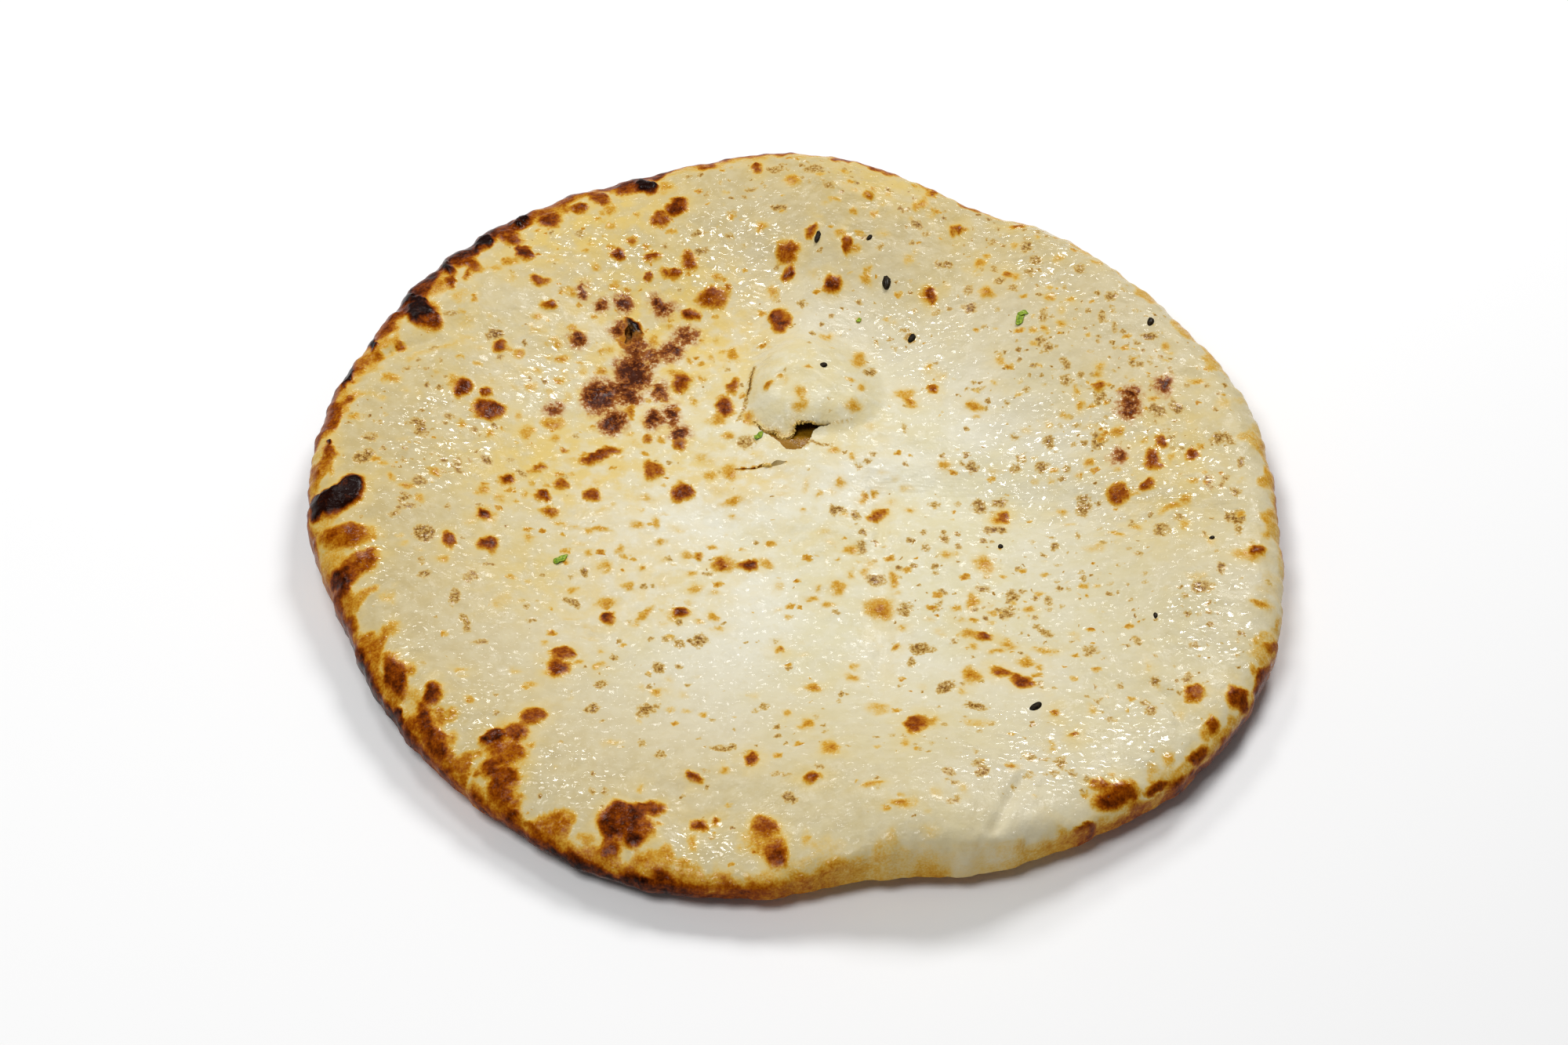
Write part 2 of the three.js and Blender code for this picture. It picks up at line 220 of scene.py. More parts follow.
# Marks of the fire, read in enlarged parts of the picture. For each part its left top corner
# and enlargement, then for each kind of mark its x, y, width, height and, where it leans, its turn
# clockwise
ENLARGED = 3.733
CLOSE_UP = 8.711
MARKS_SEEN = [
    (380, 180, ENLARGED, {
        "charred": [
            (575, 800, 120, 130, 35), (520, 740, 90, 80), (700, 595, 60, 110, -40),
            (885, 490, 90, 60, -30), (340, 955, 50, 80, -40), (1060, 385, 90, 40, -30),
            (240, 1130, 40, 110, 30),
        ],
        "browned": [
            (610, 830, 180, 140, 40), (730, 670, 40, 60), (830, 590, 100, 70, 20), (805, 640, 30, 30),
            (1075, 530, 80, 60, 20), (1015, 465, 120, 60), (1200, 370, 110, 80), (1340, 325, 70, 50),
            (1430, 275, 110, 50, 20), (490, 968, 55, 45), (785, 1165, 80, 90, 20), (1525, 545, 60, 55),
            (1150, 660, 100, 45), (1195, 780, 60, 45), (1335, 940, 40, 70), (960, 975, 55, 60, 20),
            (895, 1190, 60, 35), (840, 747, 15, 25), (1445, 1005, 15, 20), (650, 560, 60, 60),
            (450, 830, 60, 60),
        ],
        "amber": [
            (660, 690, 160, 90, -30), (1015, 570, 90, 50, -20), (940, 600, 90, 30), (1150, 360, 60, 60),
            (1490, 330, 60, 50), (1480, 405, 50, 25), (405, 970, 60, 35), (440, 1130, 100, 60),
            (740, 1145, 70, 80), (1415, 600, 50, 40), (1300, 720, 50, 45), (1140, 835, 65, 30),
            (1305, 895, 60, 50), (1210, 945, 50, 20), (1240, 970, 40, 25), (1000, 995, 60, 30),
            (1050, 1010, 50, 50), (1140, 1100, 50, 35), (1255, 1030, 60, 45), (1255, 1145, 40, 25),
            (1115, 1175, 60, 50), (895, 1225, 80, 30), (1440, 1095, 50, 50), (1480, 1000, 60, 35),
            (1500, 690, 40, 40), (1530, 905, 50, 50), (760, 560, 70, 40, -30), (930, 440, 90, 40, -30),
        ],
        "golden": [
            (1440, 380, 60, 25), (1135, 895, 60, 45), (800, 850, 90, 80), (770, 740, 90, 60),
            (910, 830, 25, 20), (870, 990, 50, 30), (800, 940, 60, 20), (1080, 1105, 45, 35),
            (1265, 1110, 50, 40), (920, 1140, 30, 20), (660, 1100, 50, 30), (520, 1180, 40, 20),
            (1220, 545, 60, 30), (1200, 580, 60, 30), (1010, 640, 50, 50), (1030, 1165, 40, 30),
            (1200, 1200, 60, 30), (575, 1205, 30, 30), (400, 1225, 50, 25), (360, 1090, 130, 30, -25),
            (560, 1020, 150, 25, -15), (720, 980, 150, 25, -15),
        ],
        "scorched": [(1355, 718, 45, 60), (1445, 780, 40, 45), (1545, 770, 50, 90)],
        "damp": [
            (1270, 715, 30, 25), (940, 915, 70, 50), (730, 825, 50, 30), (520, 1075, 50, 30),
            (640, 995, 50, 15), (1340, 440, 30, 40),
        ],
    }),
    (800, 180, ENLARGED, {
        "charred": [(85, 215, 95, 70, 15), (30, 900, 70, 110, -20)],
        "browned": [
            (15, 220, 150, 80, -5), (240, 310, 120, 70, -20), (160, 370, 90, 70, -20), (620, 130, 50, 40),
            (760, 530, 110, 120, -30), (765, 625, 50, 70), (880, 430, 40, 80, 10), (1045, 500, 35, 90),
            (1150, 255, 50, 35), (1455, 250, 40, 25), (1555, 430, 40, 55), (980, 680, 80, 85, 10),
            (1445, 735, 50, 50), (295, 575, 90, 100), (120, 560, 75, 50), (25, 475, 50, 30),
            (95, 650, 50, 60), (180, 630, 40, 60), (230, 640, 60, 55), (470, 690, 30, 25),
            (410, 750, 150, 110, -10), (300, 825, 80, 55), (720, 855, 110, 110, -30),
            (1455, 1180, 30, 40), (255, 1150, 90, 80), (155, 1200, 50, 60), (500, 1175, 50, 70),
            (675, 1160, 25, 25),
        ],
        "amber": [
            (190, 220, 100, 50), (785, 185, 75, 55), (640, 408, 50, 55), (1015, 435, 60, 50),
            (1085, 520, 40, 50), (1080, 325, 45, 40), (1250, 255, 45, 35), (1175, 345, 40, 45),
            (1210, 293, 25, 15), (985, 272, 40, 30), (1395, 305, 60, 50), (1415, 270, 30, 30),
            (1450, 345, 35, 45), (1135, 660, 65, 45), (1140, 610, 35, 30), (1430, 730, 100, 90),
            (225, 430, 25, 25), (435, 648, 70, 40), (190, 880, 30, 25), (690, 715, 55, 90),
            (955, 930, 50, 35), (500, 1005, 65, 70), (400, 1030, 30, 35), (300, 1050, 40, 30),
            (130, 955, 45, 55), (420, 940, 25, 25), (1105, 1040, 75, 75), (1115, 1175, 40, 40),
            (1325, 1205, 100, 60), (210, 1110, 50, 40), (350, 1140, 55, 40), (820, 1200, 60, 70),
            (440, 1225, 40, 20),
        ],
        "golden": [
            (945, 295, 40, 15), (915, 350, 40, 20), (1035, 205, 30, 20), (1345, 370, 30, 30),
            (1215, 440, 70, 50), (1340, 570, 60, 60), (1370, 530, 30, 40), (885, 620, 40, 50),
            (1515, 690, 30, 40), (600, 945, 40, 25), (665, 955, 30, 30), (355, 965, 35, 25),
            (1270, 870, 25, 25), (1430, 1085, 60, 50), (1495, 1115, 60, 40), (740, 1135, 50, 35),
            (470, 1080, 25, 20),
        ],
        "singed": [(140, 775, 60, 70), (180, 805, 80, 60), (0, 780, 40, 80)],
        "damp": [
            (690, 130, 50, 25), (740, 120, 40, 20), (890, 135, 90, 45), (580, 230, 50, 30),
            (615, 220, 15, 15), (720, 320, 60, 35), (500, 345, 40, 40), (375, 265, 20, 30),
            (970, 210, 50, 25), (1300, 330, 35, 30), (1370, 400, 60, 40), (1420, 440, 40, 30),
            (1135, 455, 40, 25), (1200, 510, 35, 25), (1510, 590, 80, 40), (1470, 815, 20, 20),
            (185, 495, 35, 30), (350, 525, 50, 40), (345, 435, 70, 25), (485, 445, 40, 30),
            (830, 775, 40, 30), (1160, 1100, 50, 40), (1185, 970, 20, 20), (1350, 940, 60, 50),
        ],
    }),
    (1220, 180, ENLARGED, {
        "browned": [(15, 425, 45, 45), (290, 412, 80, 20), (235, 640, 30, 30), (675, 1160, 40, 35)],
        "amber": [
            (115, 580, 55, 60), (90, 625, 20, 30), (275, 500, 40, 30), (480, 555, 45, 30),
            (380, 455, 30, 25), (670, 578, 45, 30), (280, 650, 60, 35), (145, 720, 75, 70),
            (440, 740, 50, 40), (540, 760, 45, 25), (500, 875, 50, 40), (415, 885, 30, 30),
            (430, 905, 25, 30), (1000, 975, 35, 35), (1020, 1005, 20, 20), (205, 1040, 40, 45),
            (690, 1080, 65, 60), (665, 1110, 50, 40), (565, 1185, 30, 60), (1140, 1135, 90, 25),
            (185, 1160, 30, 25),
        ],
        "golden": [(35, 610, 40, 25), (500, 800, 40, 40)],
        "singed": [(985, 1160, 70, 90), (830, 1200, 90, 60)],
        "damp": [
            (330, 505, 45, 45), (590, 600, 60, 40), (210, 665, 30, 30), (65, 790, 65, 50),
            (55, 715, 40, 40), (735, 740, 50, 45), (270, 700, 50, 40), (695, 845, 30, 35),
            (750, 810, 15, 15), (750, 880, 25, 60), (420, 830, 40, 50), (855, 960, 40, 30),
            (925, 925, 50, 40), (400, 955, 40, 40), (440, 985, 30, 40), (520, 1060, 40, 50),
            (840, 1050, 30, 60), (865, 1080, 20, 20), (685, 1200, 40, 50), (595, 1115, 25, 25),
            (525, 1135, 50, 40), (1195, 1165, 20, 20), (80, 1135, 25, 20), (330, 1185, 30, 25),
            (45, 1185, 20, 25), (95, 1175, 60, 20), (175, 480, 35, 30), (350, 625, 20, 25),
            (175, 605, 30, 30), (370, 570, 60, 40),
        ],
    }),
    (380, 510, ENLARGED, {
        "charred": [(200, 462, 290, 140, -32), (85, 525, 100, 150, 20), (150, 205, 30, 30)],
        "toasted": [(200, 880, 110, 150, -30), (180, 960, 70, 140)],
        "browned": [
            (220, 650, 290, 130, -5), (290, 780, 230, 110, -25), (225, 850, 180, 110, -40),
            (255, 1070, 70, 100, -20), (200, 1060, 50, 100), (150, 250, 60, 80), (85, 360, 40, 80),
            (910, 45, 160, 100, 10), (1440, 265, 200, 60, -20), (1140, 330, 90, 30, -8),
            (1000, 375, 60, 35), (1250, 400, 75, 50), (1400, 450, 80, 45, 20), (1160, 455, 70, 60),
            (1205, 535, 65, 50), (885, 545, 70, 50), (720, 670, 70, 70), (910, 685, 110, 80),
            (1480, 1045, 80, 60), (1260, 1210, 120, 50),
        ],
        "amber": [
            (290, 1150, 80, 100), (450, 1090, 70, 60), (460, 1210, 70, 40), (200, 60, 60, 130, 25),
            (270, 80, 50, 30), (1215, 110, 120, 60), (1225, 190, 60, 50), (1090, 160, 80, 70, 30),
            (1055, 75, 35, 50), (985, 375, 90, 55), (650, 340, 80, 40, 20), (965, 465, 55, 45),
            (880, 430, 70, 60), (885, 545, 130, 90), (1245, 585, 80, 30, 15), (1420, 617, 130, 35, 5),
            (1105, 655, 70, 35), (690, 760, 70, 40), (1310, 905, 50, 40), (1465, 960, 100, 60, -15),
            (1465, 795, 70, 60), (1530, 710, 40, 50), (1380, 730, 40, 25), (1555, 885, 50, 30),
            (1170, 1160, 35, 25), (1440, 1190, 30, 25), (785, 115, 50, 35), (910, 160, 50, 35),
            (410, 295, 60, 25), (450, 375, 60, 30), (515, 405, 90, 40), (585, 470, 50, 30),
            (1115, 400, 40, 40), (1085, 455, 35, 35),
        ],
        "golden": [
            (1100, 225, 60, 30), (1310, 290, 80, 20), (830, 590, 60, 40), (1320, 610, 80, 20),
            (590, 715, 40, 20), (505, 690, 40, 25), (980, 940, 60, 35), (955, 970, 40, 40),
            (1060, 965, 60, 20), (1340, 685, 70, 20), (1300, 1045, 60, 15), (1390, 1085, 50, 15),
            (1395, 1135, 60, 25), (500, 185, 50, 25), (1420, 395, 40, 50), (1450, 530, 50, 30),
            (1490, 500, 25, 30), (1540, 325, 40, 20), (430, 940, 90, 70),
        ],
        "singed": [(1220, 40, 80, 60)],
        "damp": [
            (1065, 350, 45, 30), (600, 630, 120, 80), (585, 770, 60, 40), (605, 825, 50, 30),
            (820, 845, 70, 30), (745, 940, 40, 80), (795, 1055, 50, 80), (880, 1155, 80, 25),
            (1095, 990, 30, 20), (1300, 965, 80, 30, 25), (1365, 820, 45, 40), (1105, 1045, 30, 15),
            (335, 170, 70, 40), (390, 100, 40, 30), (570, 110, 70, 40), (590, 155, 80, 50),
            (720, 80, 50, 25), (845, 145, 30, 25), (320, 260, 100, 60, -25), (500, 285, 30, 20),
            (575, 385, 70, 40), (510, 465, 50, 20), (515, 505, 80, 30), (455, 540, 60, 25),
            (755, 300, 50, 40), (765, 335, 50, 30), (895, 285, 60, 40), (1020, 285, 60, 30),
            (710, 515, 25, 30), (910, 778, 80, 10),
        ],
    }),
    (800, 510, ENLARGED, {
        "browned": [
            (15, 60, 40, 60), (250, 215, 70, 60), (465, 40, 80, 80), (95, 185, 35, 30),
            (120, 335, 100, 80, 20), (265, 440, 110, 90), (345, 750, 20, 25), (75, 797, 25, 25),
            (440, 790, 60, 50), (580, 790, 80, 60), (255, 1015, 80, 50), (1195, 545, 90, 50, -25),
            (1275, 1175, 20, 20), (725, 1190, 15, 15),
        ],
        "amber": [
            (95, 115, 40, 60), (430, 95, 100, 60), (585, 90, 80, 80), (825, 20, 80, 60),
            (1080, 30, 80, 70), (1350, 10, 80, 40), (480, 170, 50, 35), (15, 170, 35, 25),
            (160, 195, 40, 30), (390, 360, 70, 60), (485, 345, 90, 80), (500, 490, 140, 45, -10),
            (500, 560, 40, 25), (130, 580, 35, 60), (45, 600, 80, 40, 15), (155, 678, 50, 30),
            (680, 683, 55, 25), (285, 740, 60, 30), (305, 835, 45, 30), (470, 785, 130, 90),
            (665, 785, 70, 45), (325, 900, 60, 40), (10, 890, 40, 40), (240, 1020, 110, 65),
            (75, 1030, 140, 40, -40), (405, 1030, 60, 40), (345, 1053, 50, 25), (435, 1088, 60, 25),
            (840, 530, 20, 25), (1015, 395, 65, 50, -20), (920, 448, 40, 30), (985, 240, 70, 50),
            (1075, 265, 35, 40), (1510, 310, 65, 45), (1120, 465, 50, 60), (1185, 445, 40, 50),
            (1350, 527, 45, 25), (1065, 710, 60, 50), (1525, 743, 60, 30), (1140, 820, 30, 60),
            (1265, 850, 50, 100), (1065, 830, 35, 40), (1005, 895, 85, 80), (905, 900, 40, 30),
            (885, 950, 70, 30), (955, 977, 70, 30), (1200, 995, 160, 110), (1305, 1080, 40, 30),
        ],
        "golden": [
            (45, 210, 60, 30), (350, 275, 70, 40), (400, 290, 60, 30), (90, 470, 80, 45, 20),
            (440, 430, 70, 30), (245, 615, 40, 20), (180, 770, 60, 25), (180, 880, 40, 25),
            (415, 920, 50, 30), (170, 1060, 50, 20), (715, 890, 40, 50), (720, 1000, 40, 20),
            (745, 455, 40, 20), (740, 415, 30, 15), (850, 410, 40, 70, 30), (975, 435, 40, 30),
            (1220, 345, 40, 25), (1160, 135, 50, 30), (1260, 490, 40, 30), (1330, 420, 60, 40),
            (935, 640, 70, 25), (965, 680, 35, 20), (1150, 770, 60, 40), (1430, 1045, 45, 20),
            (1490, 1105, 40, 30), (830, 1218, 40, 20),
        ],
        "damp": [
            (565, 205, 80, 70), (390, 830, 40, 20), (195, 1148, 45, 30), (250, 1165, 60, 35),
            (345, 1145, 90, 45), (1095, 315, 25, 40), (1165, 265, 25, 25), (1145, 300, 20, 20),
            (1320, 140, 30, 35), (1000, 525, 60, 40), (1085, 545, 50, 40), (1470, 497, 55, 25),
            (1110, 700, 50, 60), (1510, 665, 40, 30), (1415, 700, 30, 25), (1180, 860, 80, 60),
            (1330, 1000, 60, 70), (1490, 980, 40, 50), (1505, 910, 50, 25), (1390, 1180, 80, 50),
            (1450, 1190, 30, 20), (1550, 1145, 30, 20), (1005, 1015, 40, 15),
        ],
    }),
    (1220, 510, ENLARGED, {
        "browned": [
            (695, 133, 12, 12), (970, 195, 40, 50), (935, 270, 70, 70), (940, 310, 80, 50),
            (1115, 258, 60, 40), (915, 405, 80, 60, -30), (775, 450, 100, 90, -30), (215, 560, 60, 40),
            (1500, 1190, 80, 60), (80, 1053, 25, 20), (130, 1130, 80, 40, 10), (1430, 720, 80, 50, 20),
        ],
        "amber": [
            (85, 30, 110, 45, 15), (595, 35, 50, 70), (435, 120, 40, 35), (515, 72, 35, 25),
            (765, 155, 50, 60), (630, 300, 60, 50), (590, 360, 60, 35), (450, 383, 40, 20),
            (1025, 270, 20, 60), (850, 440, 50, 30), (495, 540, 50, 30), (1025, 515, 150, 40, -20),
            (1090, 480, 50, 60), (205, 560, 95, 60), (850, 605, 50, 30), (1090, 590, 45, 40),
            (770, 635, 70, 20), (130, 785, 110, 80, 40), (1385, 735, 160, 70, 10), (1475, 640, 50, 60),
            (1455, 215, 40, 60), (1480, 330, 35, 80), (75, 960, 65, 80, 30), (350, 1000, 50, 25),
            (1450, 975, 110, 50, 25), (1530, 1080, 30, 100), (1430, 1160, 60, 40), (15, 1050, 40, 30),
            (60, 1115, 70, 40), (245, 1165, 100, 40, 10), (195, 1195, 100, 30), (425, 1195, 130, 25),
            (85, 1175, 30, 20),
        ],
        "golden": [
            (335, 148, 50, 25), (640, 130, 60, 25), (185, 335, 60, 25), (540, 590, 50, 15),
            (665, 705, 100, 35), (1215, 665, 60, 50), (1150, 845, 100, 30), (160, 980, 40, 30),
            (565, 1125, 35, 30),
        ],
        "singed": [(825, 35, 100, 120, -10), (770, 265, 60, 60)],
        "damp": [
            (955, 50, 80, 60), (1060, 45, 60, 60), (1025, 20, 30, 40), (670, 10, 40, 30),
            (245, 20, 30, 30), (445, 200, 45, 45), (280, 175, 35, 20), (570, 120, 45, 25),
            (665, 190, 60, 70), (405, 320, 60, 60), (275, 330, 45, 40), (75, 320, 60, 50),
            (15, 310, 30, 25), (315, 280, 30, 30), (525, 330, 30, 40), (990, 150, 40, 20),
            (1240, 185, 60, 50), (1300, 185, 50, 50), (1360, 295, 35, 30), (610, 515, 60, 60),
            (600, 470, 40, 30), (1200, 385, 40, 50), (1215, 405, 25, 25), (1285, 375, 25, 50),
            (1255, 405, 25, 20), (1330, 440, 40, 40), (1330, 560, 80, 60), (1340, 630, 40, 50),
            (105, 510, 60, 60), (210, 490, 60, 40), (185, 615, 110, 30), (830, 580, 30, 30),
            (980, 610, 60, 50), (1060, 560, 40, 30), (450, 650, 30, 20), (580, 650, 20, 20),
            (470, 710, 30, 30), (865, 735, 35, 20), (1180, 640, 25, 30), (1255, 795, 45, 50),
            (1170, 890, 110, 60), (265, 935, 60, 60), (240, 1010, 60, 35), (130, 905, 60, 20),
            (405, 1100, 70, 40, 20), (435, 1130, 40, 20), (640, 1195, 50, 25), (440, 960, 40, 30),
            (860, 1150, 40, 30), (1130, 1165, 50, 25),
        ],
    }),
    (380, 840, ENLARGED, {
        "toasted": [
            (605, 310, 90, 250, -12), (480, 280, 60, 110, -20), (930, 370, 120, 80, -15),
            (910, 530, 120, 110), (740, 600, 90, 40, 35), (1500, 800, 140, 160, 10),
            (440, 90, 70, 160, -20), (560, 450, 60, 120, -35),
        ],
        "browned": [
            (465, 90, 120, 240, -20), (640, 170, 100, 110, 30), (660, 410, 130, 220, -15),
            (540, 330, 60, 150), (690, 550, 130, 90, 35), (1110, 285, 140, 80, -15),
            (1040, 350, 110, 90, -30), (990, 450, 200, 130), (980, 560, 150, 120),
            (970, 650, 150, 130, 30), (1020, 760, 120, 90, 35), (1110, 800, 90, 50, 30),
            (1200, 890, 110, 50, 20), (1520, 720, 120, 80), (1480, 900, 110, 130),
            (1400, 990, 160, 60, 20), (1240, 40, 110, 90),
        ],
        "amber": [
            (985, 480, 230, 400, 12), (600, 330, 200, 330, -15), (520, 60, 110, 90, -40),
            (550, 180, 40, 80), (730, 390, 60, 90), (740, 510, 100, 90, 30), (730, 260, 90, 70, -30),
            (815, 200, 60, 40), (770, 50, 60, 30), (990, 330, 60, 40), (1050, 660, 50, 40),
            (1110, 405, 50, 30), (1250, 870, 120, 60, 20), (1270, 790, 80, 80, -30), (1370, 860, 90, 60),
            (1420, 920, 70, 80), (1190, 70, 60, 30), (1330, 20, 50, 30), (1110, 118, 60, 25),
            (1435, 32, 50, 25),
        ],
        "golden": [
            (780, 90, 40, 20), (1090, 560, 40, 60), (1040, 55, 60, 30), (1300, 190, 30, 20),
            (1500, 400, 80, 30),
        ],
        "damp": [
            (1440, 120, 60, 50), (1400, 235, 60, 60), (1445, 295, 12, 12), (1240, 390, 12, 12),
            (1465, 625, 30, 30), (1400, 640, 15, 15),
        ],
    }),
    (800, 840, ENLARGED, {
        "toasted": [(30, 860, 110, 90), (60, 1060, 170, 30)],
        "browned": [
            (1375, 315, 110, 80, -15), (595, 480, 65, 65, 20), (310, 570, 75, 50, 20), (880, 565, 90, 45),
            (340, 790, 80, 60), (425, 780, 25, 25), (70, 720, 230, 80, -5), (50, 820, 170, 130),
            (-25, 785, 250, 190, 5), (650, 800, 150, 90, 10), (705, 930, 130, 150, 10),
            (330, 1100, 200, 30),
        ],
        "amber": [
            (140, 160, 65, 30), (890, 138, 80, 40), (765, 265, 40, 30), (850, 315, 70, 60),
            (1075, 35, 35, 30), (1075, 90, 60, 35), (1440, 300, 100, 40, -10), (1330, 395, 40, 40),
            (455, 538, 45, 30), (65, 615, 35, 30), (965, 425, 110, 70), (1180, 595, 110, 30, -10),
            (1305, 688, 140, 45), (280, 980, 80, 60), (310, 880, 50, 80), (270, 1030, 70, 40),
            (440, 1040, 70, 50), (650, 860, 220, 210, 20), (640, 1100, 300, 30),
        ],
        "golden": [
            (195, 103, 45, 25), (60, 140, 25, 25), (270, 180, 40, 25), (45, 290, 50, 30, 30),
            (595, 180, 40, 35), (1195, 235, 110, 50), (1405, 135, 25, 20), (1480, 630, 60, 60),
            (850, 860, 50, 100), (1270, 860, 70, 100), (1440, 820, 90, 60),
        ],
        "damp": [
            (150, 40, 60, 50), (90, 245, 70, 50), (145, 218, 40, 20), (60, 265, 50, 15),
            (655, 225, 40, 20), (615, 245, 20, 15), (1515, 140, 90, 35, -40), (1355, 15, 40, 50),
            (80, 405, 40, 25), (155, 460, 60, 30), (455, 420, 95, 30), (590, 455, 60, 20),
            (370, 533, 25, 15), (730, 548, 90, 15), (920, 513, 50, 15), (1545, 680, 50, 15),
            (770, 668, 70, 40), (1535, 530, 40, 30), (1540, 580, 60, 15),
        ],
    }),
    (1220, 840, ENLARGED, {
        "toasted": [(1355, 220, 70, 80)],
        "browned": [
            (210, 65, 100, 50, 20), (310, 105, 110, 45, 20), (473, 265, 20, 20), (557, 370, 25, 20),
            (1135, 170, 90, 80), (1340, 190, 110, 130, -30), (1450, 110, 60, 160, 25),
            (1220, 320, 60, 90), (1150, 460, 120, 60, -35), (960, 620, 130, 50, -25),
            (760, 660, 240, 130, -20), (690, 610, 80, 60, 20), (640, 800, 150, 40, -20),
        ],
        "amber": [
            (330, 18, 80, 35, 15), (400, 47, 40, 30), (70, 80, 110, 80), (30, 150, 50, 40),
            (905, 35, 25, 40), (1420, 60, 40, 80), (1190, 360, 70, 100), (1010, 490, 40, 80),
            (745, 560, 40, 40), (560, 820, 120, 30, -15), (380, 890, 120, 30, -15), (450, 415, 25, 40),
        ],
        "golden": [
            (100, 298, 130, 30), (640, 240, 30, 60), (1075, 265, 50, 50), (30, 620, 50, 60),
            (280, 515, 40, 30),
        ],
        "damp": [
            (395, 128, 35, 30), (100, 228, 120, 40, 5), (640, 182, 25, 20), (685, 200, 20, 20),
            (730, 293, 35, 20), (685, 255, 15, 10), (950, 108, 50, 40), (1105, 95, 45, 60),
            (1185, 175, 20, 20), (895, 205, 40, 35), (925, 240, 60, 60), (125, 535, 50, 65),
            (90, 495, 40, 20), (350, 465, 45, 30), (340, 558, 35, 30), (435, 485, 25, 20),
            (500, 500, 50, 50), (465, 550, 40, 30), (420, 545, 15, 15), (550, 545, 30, 30),
            (265, 600, 20, 15), (5, 675, 20, 20), (90, 435, 15, 15),
        ],
    }),
    (720, 400, CLOSE_UP, {
        "browned": [(1300, 780, 190, 200)],
        "amber": [
            (1010, 300, 100, 130), (75, 160, 110, 80), (1400, 540, 80, 50), (1140, 150, 80, 60),
            (200, 630, 60, 80), (410, 640, 90, 80), (720, 1155, 50, 40), (740, 1350, 60, 60),
            (900, 1230, 90, 140), (1430, 970, 80, 120), (1490, 740, 90, 100), (1230, 660, 200, 60, 10),
        ],
        "golden": [
            (470, 430, 110, 90), (20, 500, 60, 80), (330, 1280, 120, 80), (220, 1270, 50, 60),
            (1540, 320, 60, 80), (20, 950, 60, 120),
        ],
        "scorched": [
            (390, 930, 400, 390), (770, 660, 420, 440, 30), (620, 820, 340, 220),
            (545, 1210, 280, 240, -20), (990, 1195, 180, 200), (1190, 1130, 170, 210),
            (1270, 1340, 190, 160),
        ],
        "singed": [
            (800, 400, 240, 280, 30), (980, 490, 150, 220), (720, 920, 280, 210),
            (1200, 420, 310, 200, -20), (1360, 240, 280, 170), (1055, 880, 160, 190),
            (600, 180, 160, 160), (150, 300, 150, 170),
        ],
    }),
]
# Where butter stands wet on the crust, read in the whole picture
WET_SEEN = [
    (940, 330, 190, 170, 0), (800, 340, 130, 120, 0), (965, 440, 40, 90, 0), (1400, 600, 420, 220, 10),
    (1540, 790, 150, 130, 0), (515, 815, 70, 90, 0), (600, 930, 110, 110, 0), (720, 990, 130, 90, 0),
    (1310, 960, 220, 130, 0), (900, 1075, 130, 70, 0), (1430, 950, 160, 130, 0), (560, 560, 180, 150, 0),
    (1180, 430, 160, 160, 0), (700, 470, 130, 120, 0), (735, 310, 120, 80, 0), (1330, 330, 180, 90, 30),
    (470, 720, 60, 120, 0),
]
# How dark each kind of mark gets, from 0 for bare dough to 1 for charcoal, its glow of butter, and
# how dark the reddish scorched patches get
MARK_TONES = {"charred": 1.25, "toasted": 0.74, "browned": 0.62, "amber": 0.33, "golden": 0.17}
MARK_HALO = 0.08
GLOW_TONES = {
    "charred": 0.6, "toasted": 0.6, "browned": 0.5, "amber": 0.22, "scorched": 1.0, "singed": 0.4,
}
GLOW_SPREAD = 26.0
SCORCH_TONES = {"scorched": 1.1, "singed": 0.85}
SCORCH_HALO = 0.34
SCORCH_SPREAD = 16.0
SOFT_MARK, HARD_MARK = 0.9, 0.45
# How marks stray from plain ellipses across and up the picture: pixels, wavelength, seed
STRAY_ACROSS = [(3.4, 7.0, 51), (1.8, 3.0, 52)]
STRAY_UP = [(2.6, 7.0, 53), (1.4, 3.0, 54)]

# Wide soft patches: x, y, size across, size along, turn, strength
BUTTERED = [
    (-60, 100, 90, 50, 30, 0.9), (-35, 60, 90, 90, 0, 1.0), (0, 45, 50, 50, 0, 0.3),
    (-60, 10, 90, 60, 0, 0.9), (30, 118, 60, 40, 0, 0.7), (10, -15, 80, 40, 0, 0.25),
    (-20, 10, 70, 40, 0, 0.8), (100, 10, 50, 90, 0, 0.5), (24, -40, 20, 90, 0, 0.25),
    (-50, -28, 110, 60, 0, 0.55), (-85, 45, 60, 70, 0, 0.35), (10, 22, 60, 40, 0, 0.35),
]
FRECKLED = [
    (-40, 65, 90, 110, 0, 0.85), (-65, 95, 80, 60, 30, 0.7), (-60, 5, 110, 60, 0, 0.6),
    (0, -18, 100, 40, 0, 0.5), (60, -42, 90, 60, -25, 0.75), (95, 20, 60, 110, 0, 0.65),
    (10, 110, 130, 70, 0, 0.5), (60, 60, 80, 70, 0, 0.4), (-40, -30, 60, 40, 0, 0.5),
]
POROUS = [
    (85, 45, 90, 110, 0, 0.85), (20, 125, 140, 50, 0, 0.8), (60, 95, 110, 60, -20, 0.7),
    (65, -35, 110, 60, -20, 0.6), (-100, 20, 60, 70, 0, 0.6), (100, -55, 60, 50, 0, 0.6),
    (20, -85, 110, 40, 0, 0.4), (-30, -55, 70, 40, 0, 0.35), (20, 70, 80, 50, 0, 0.4),
]

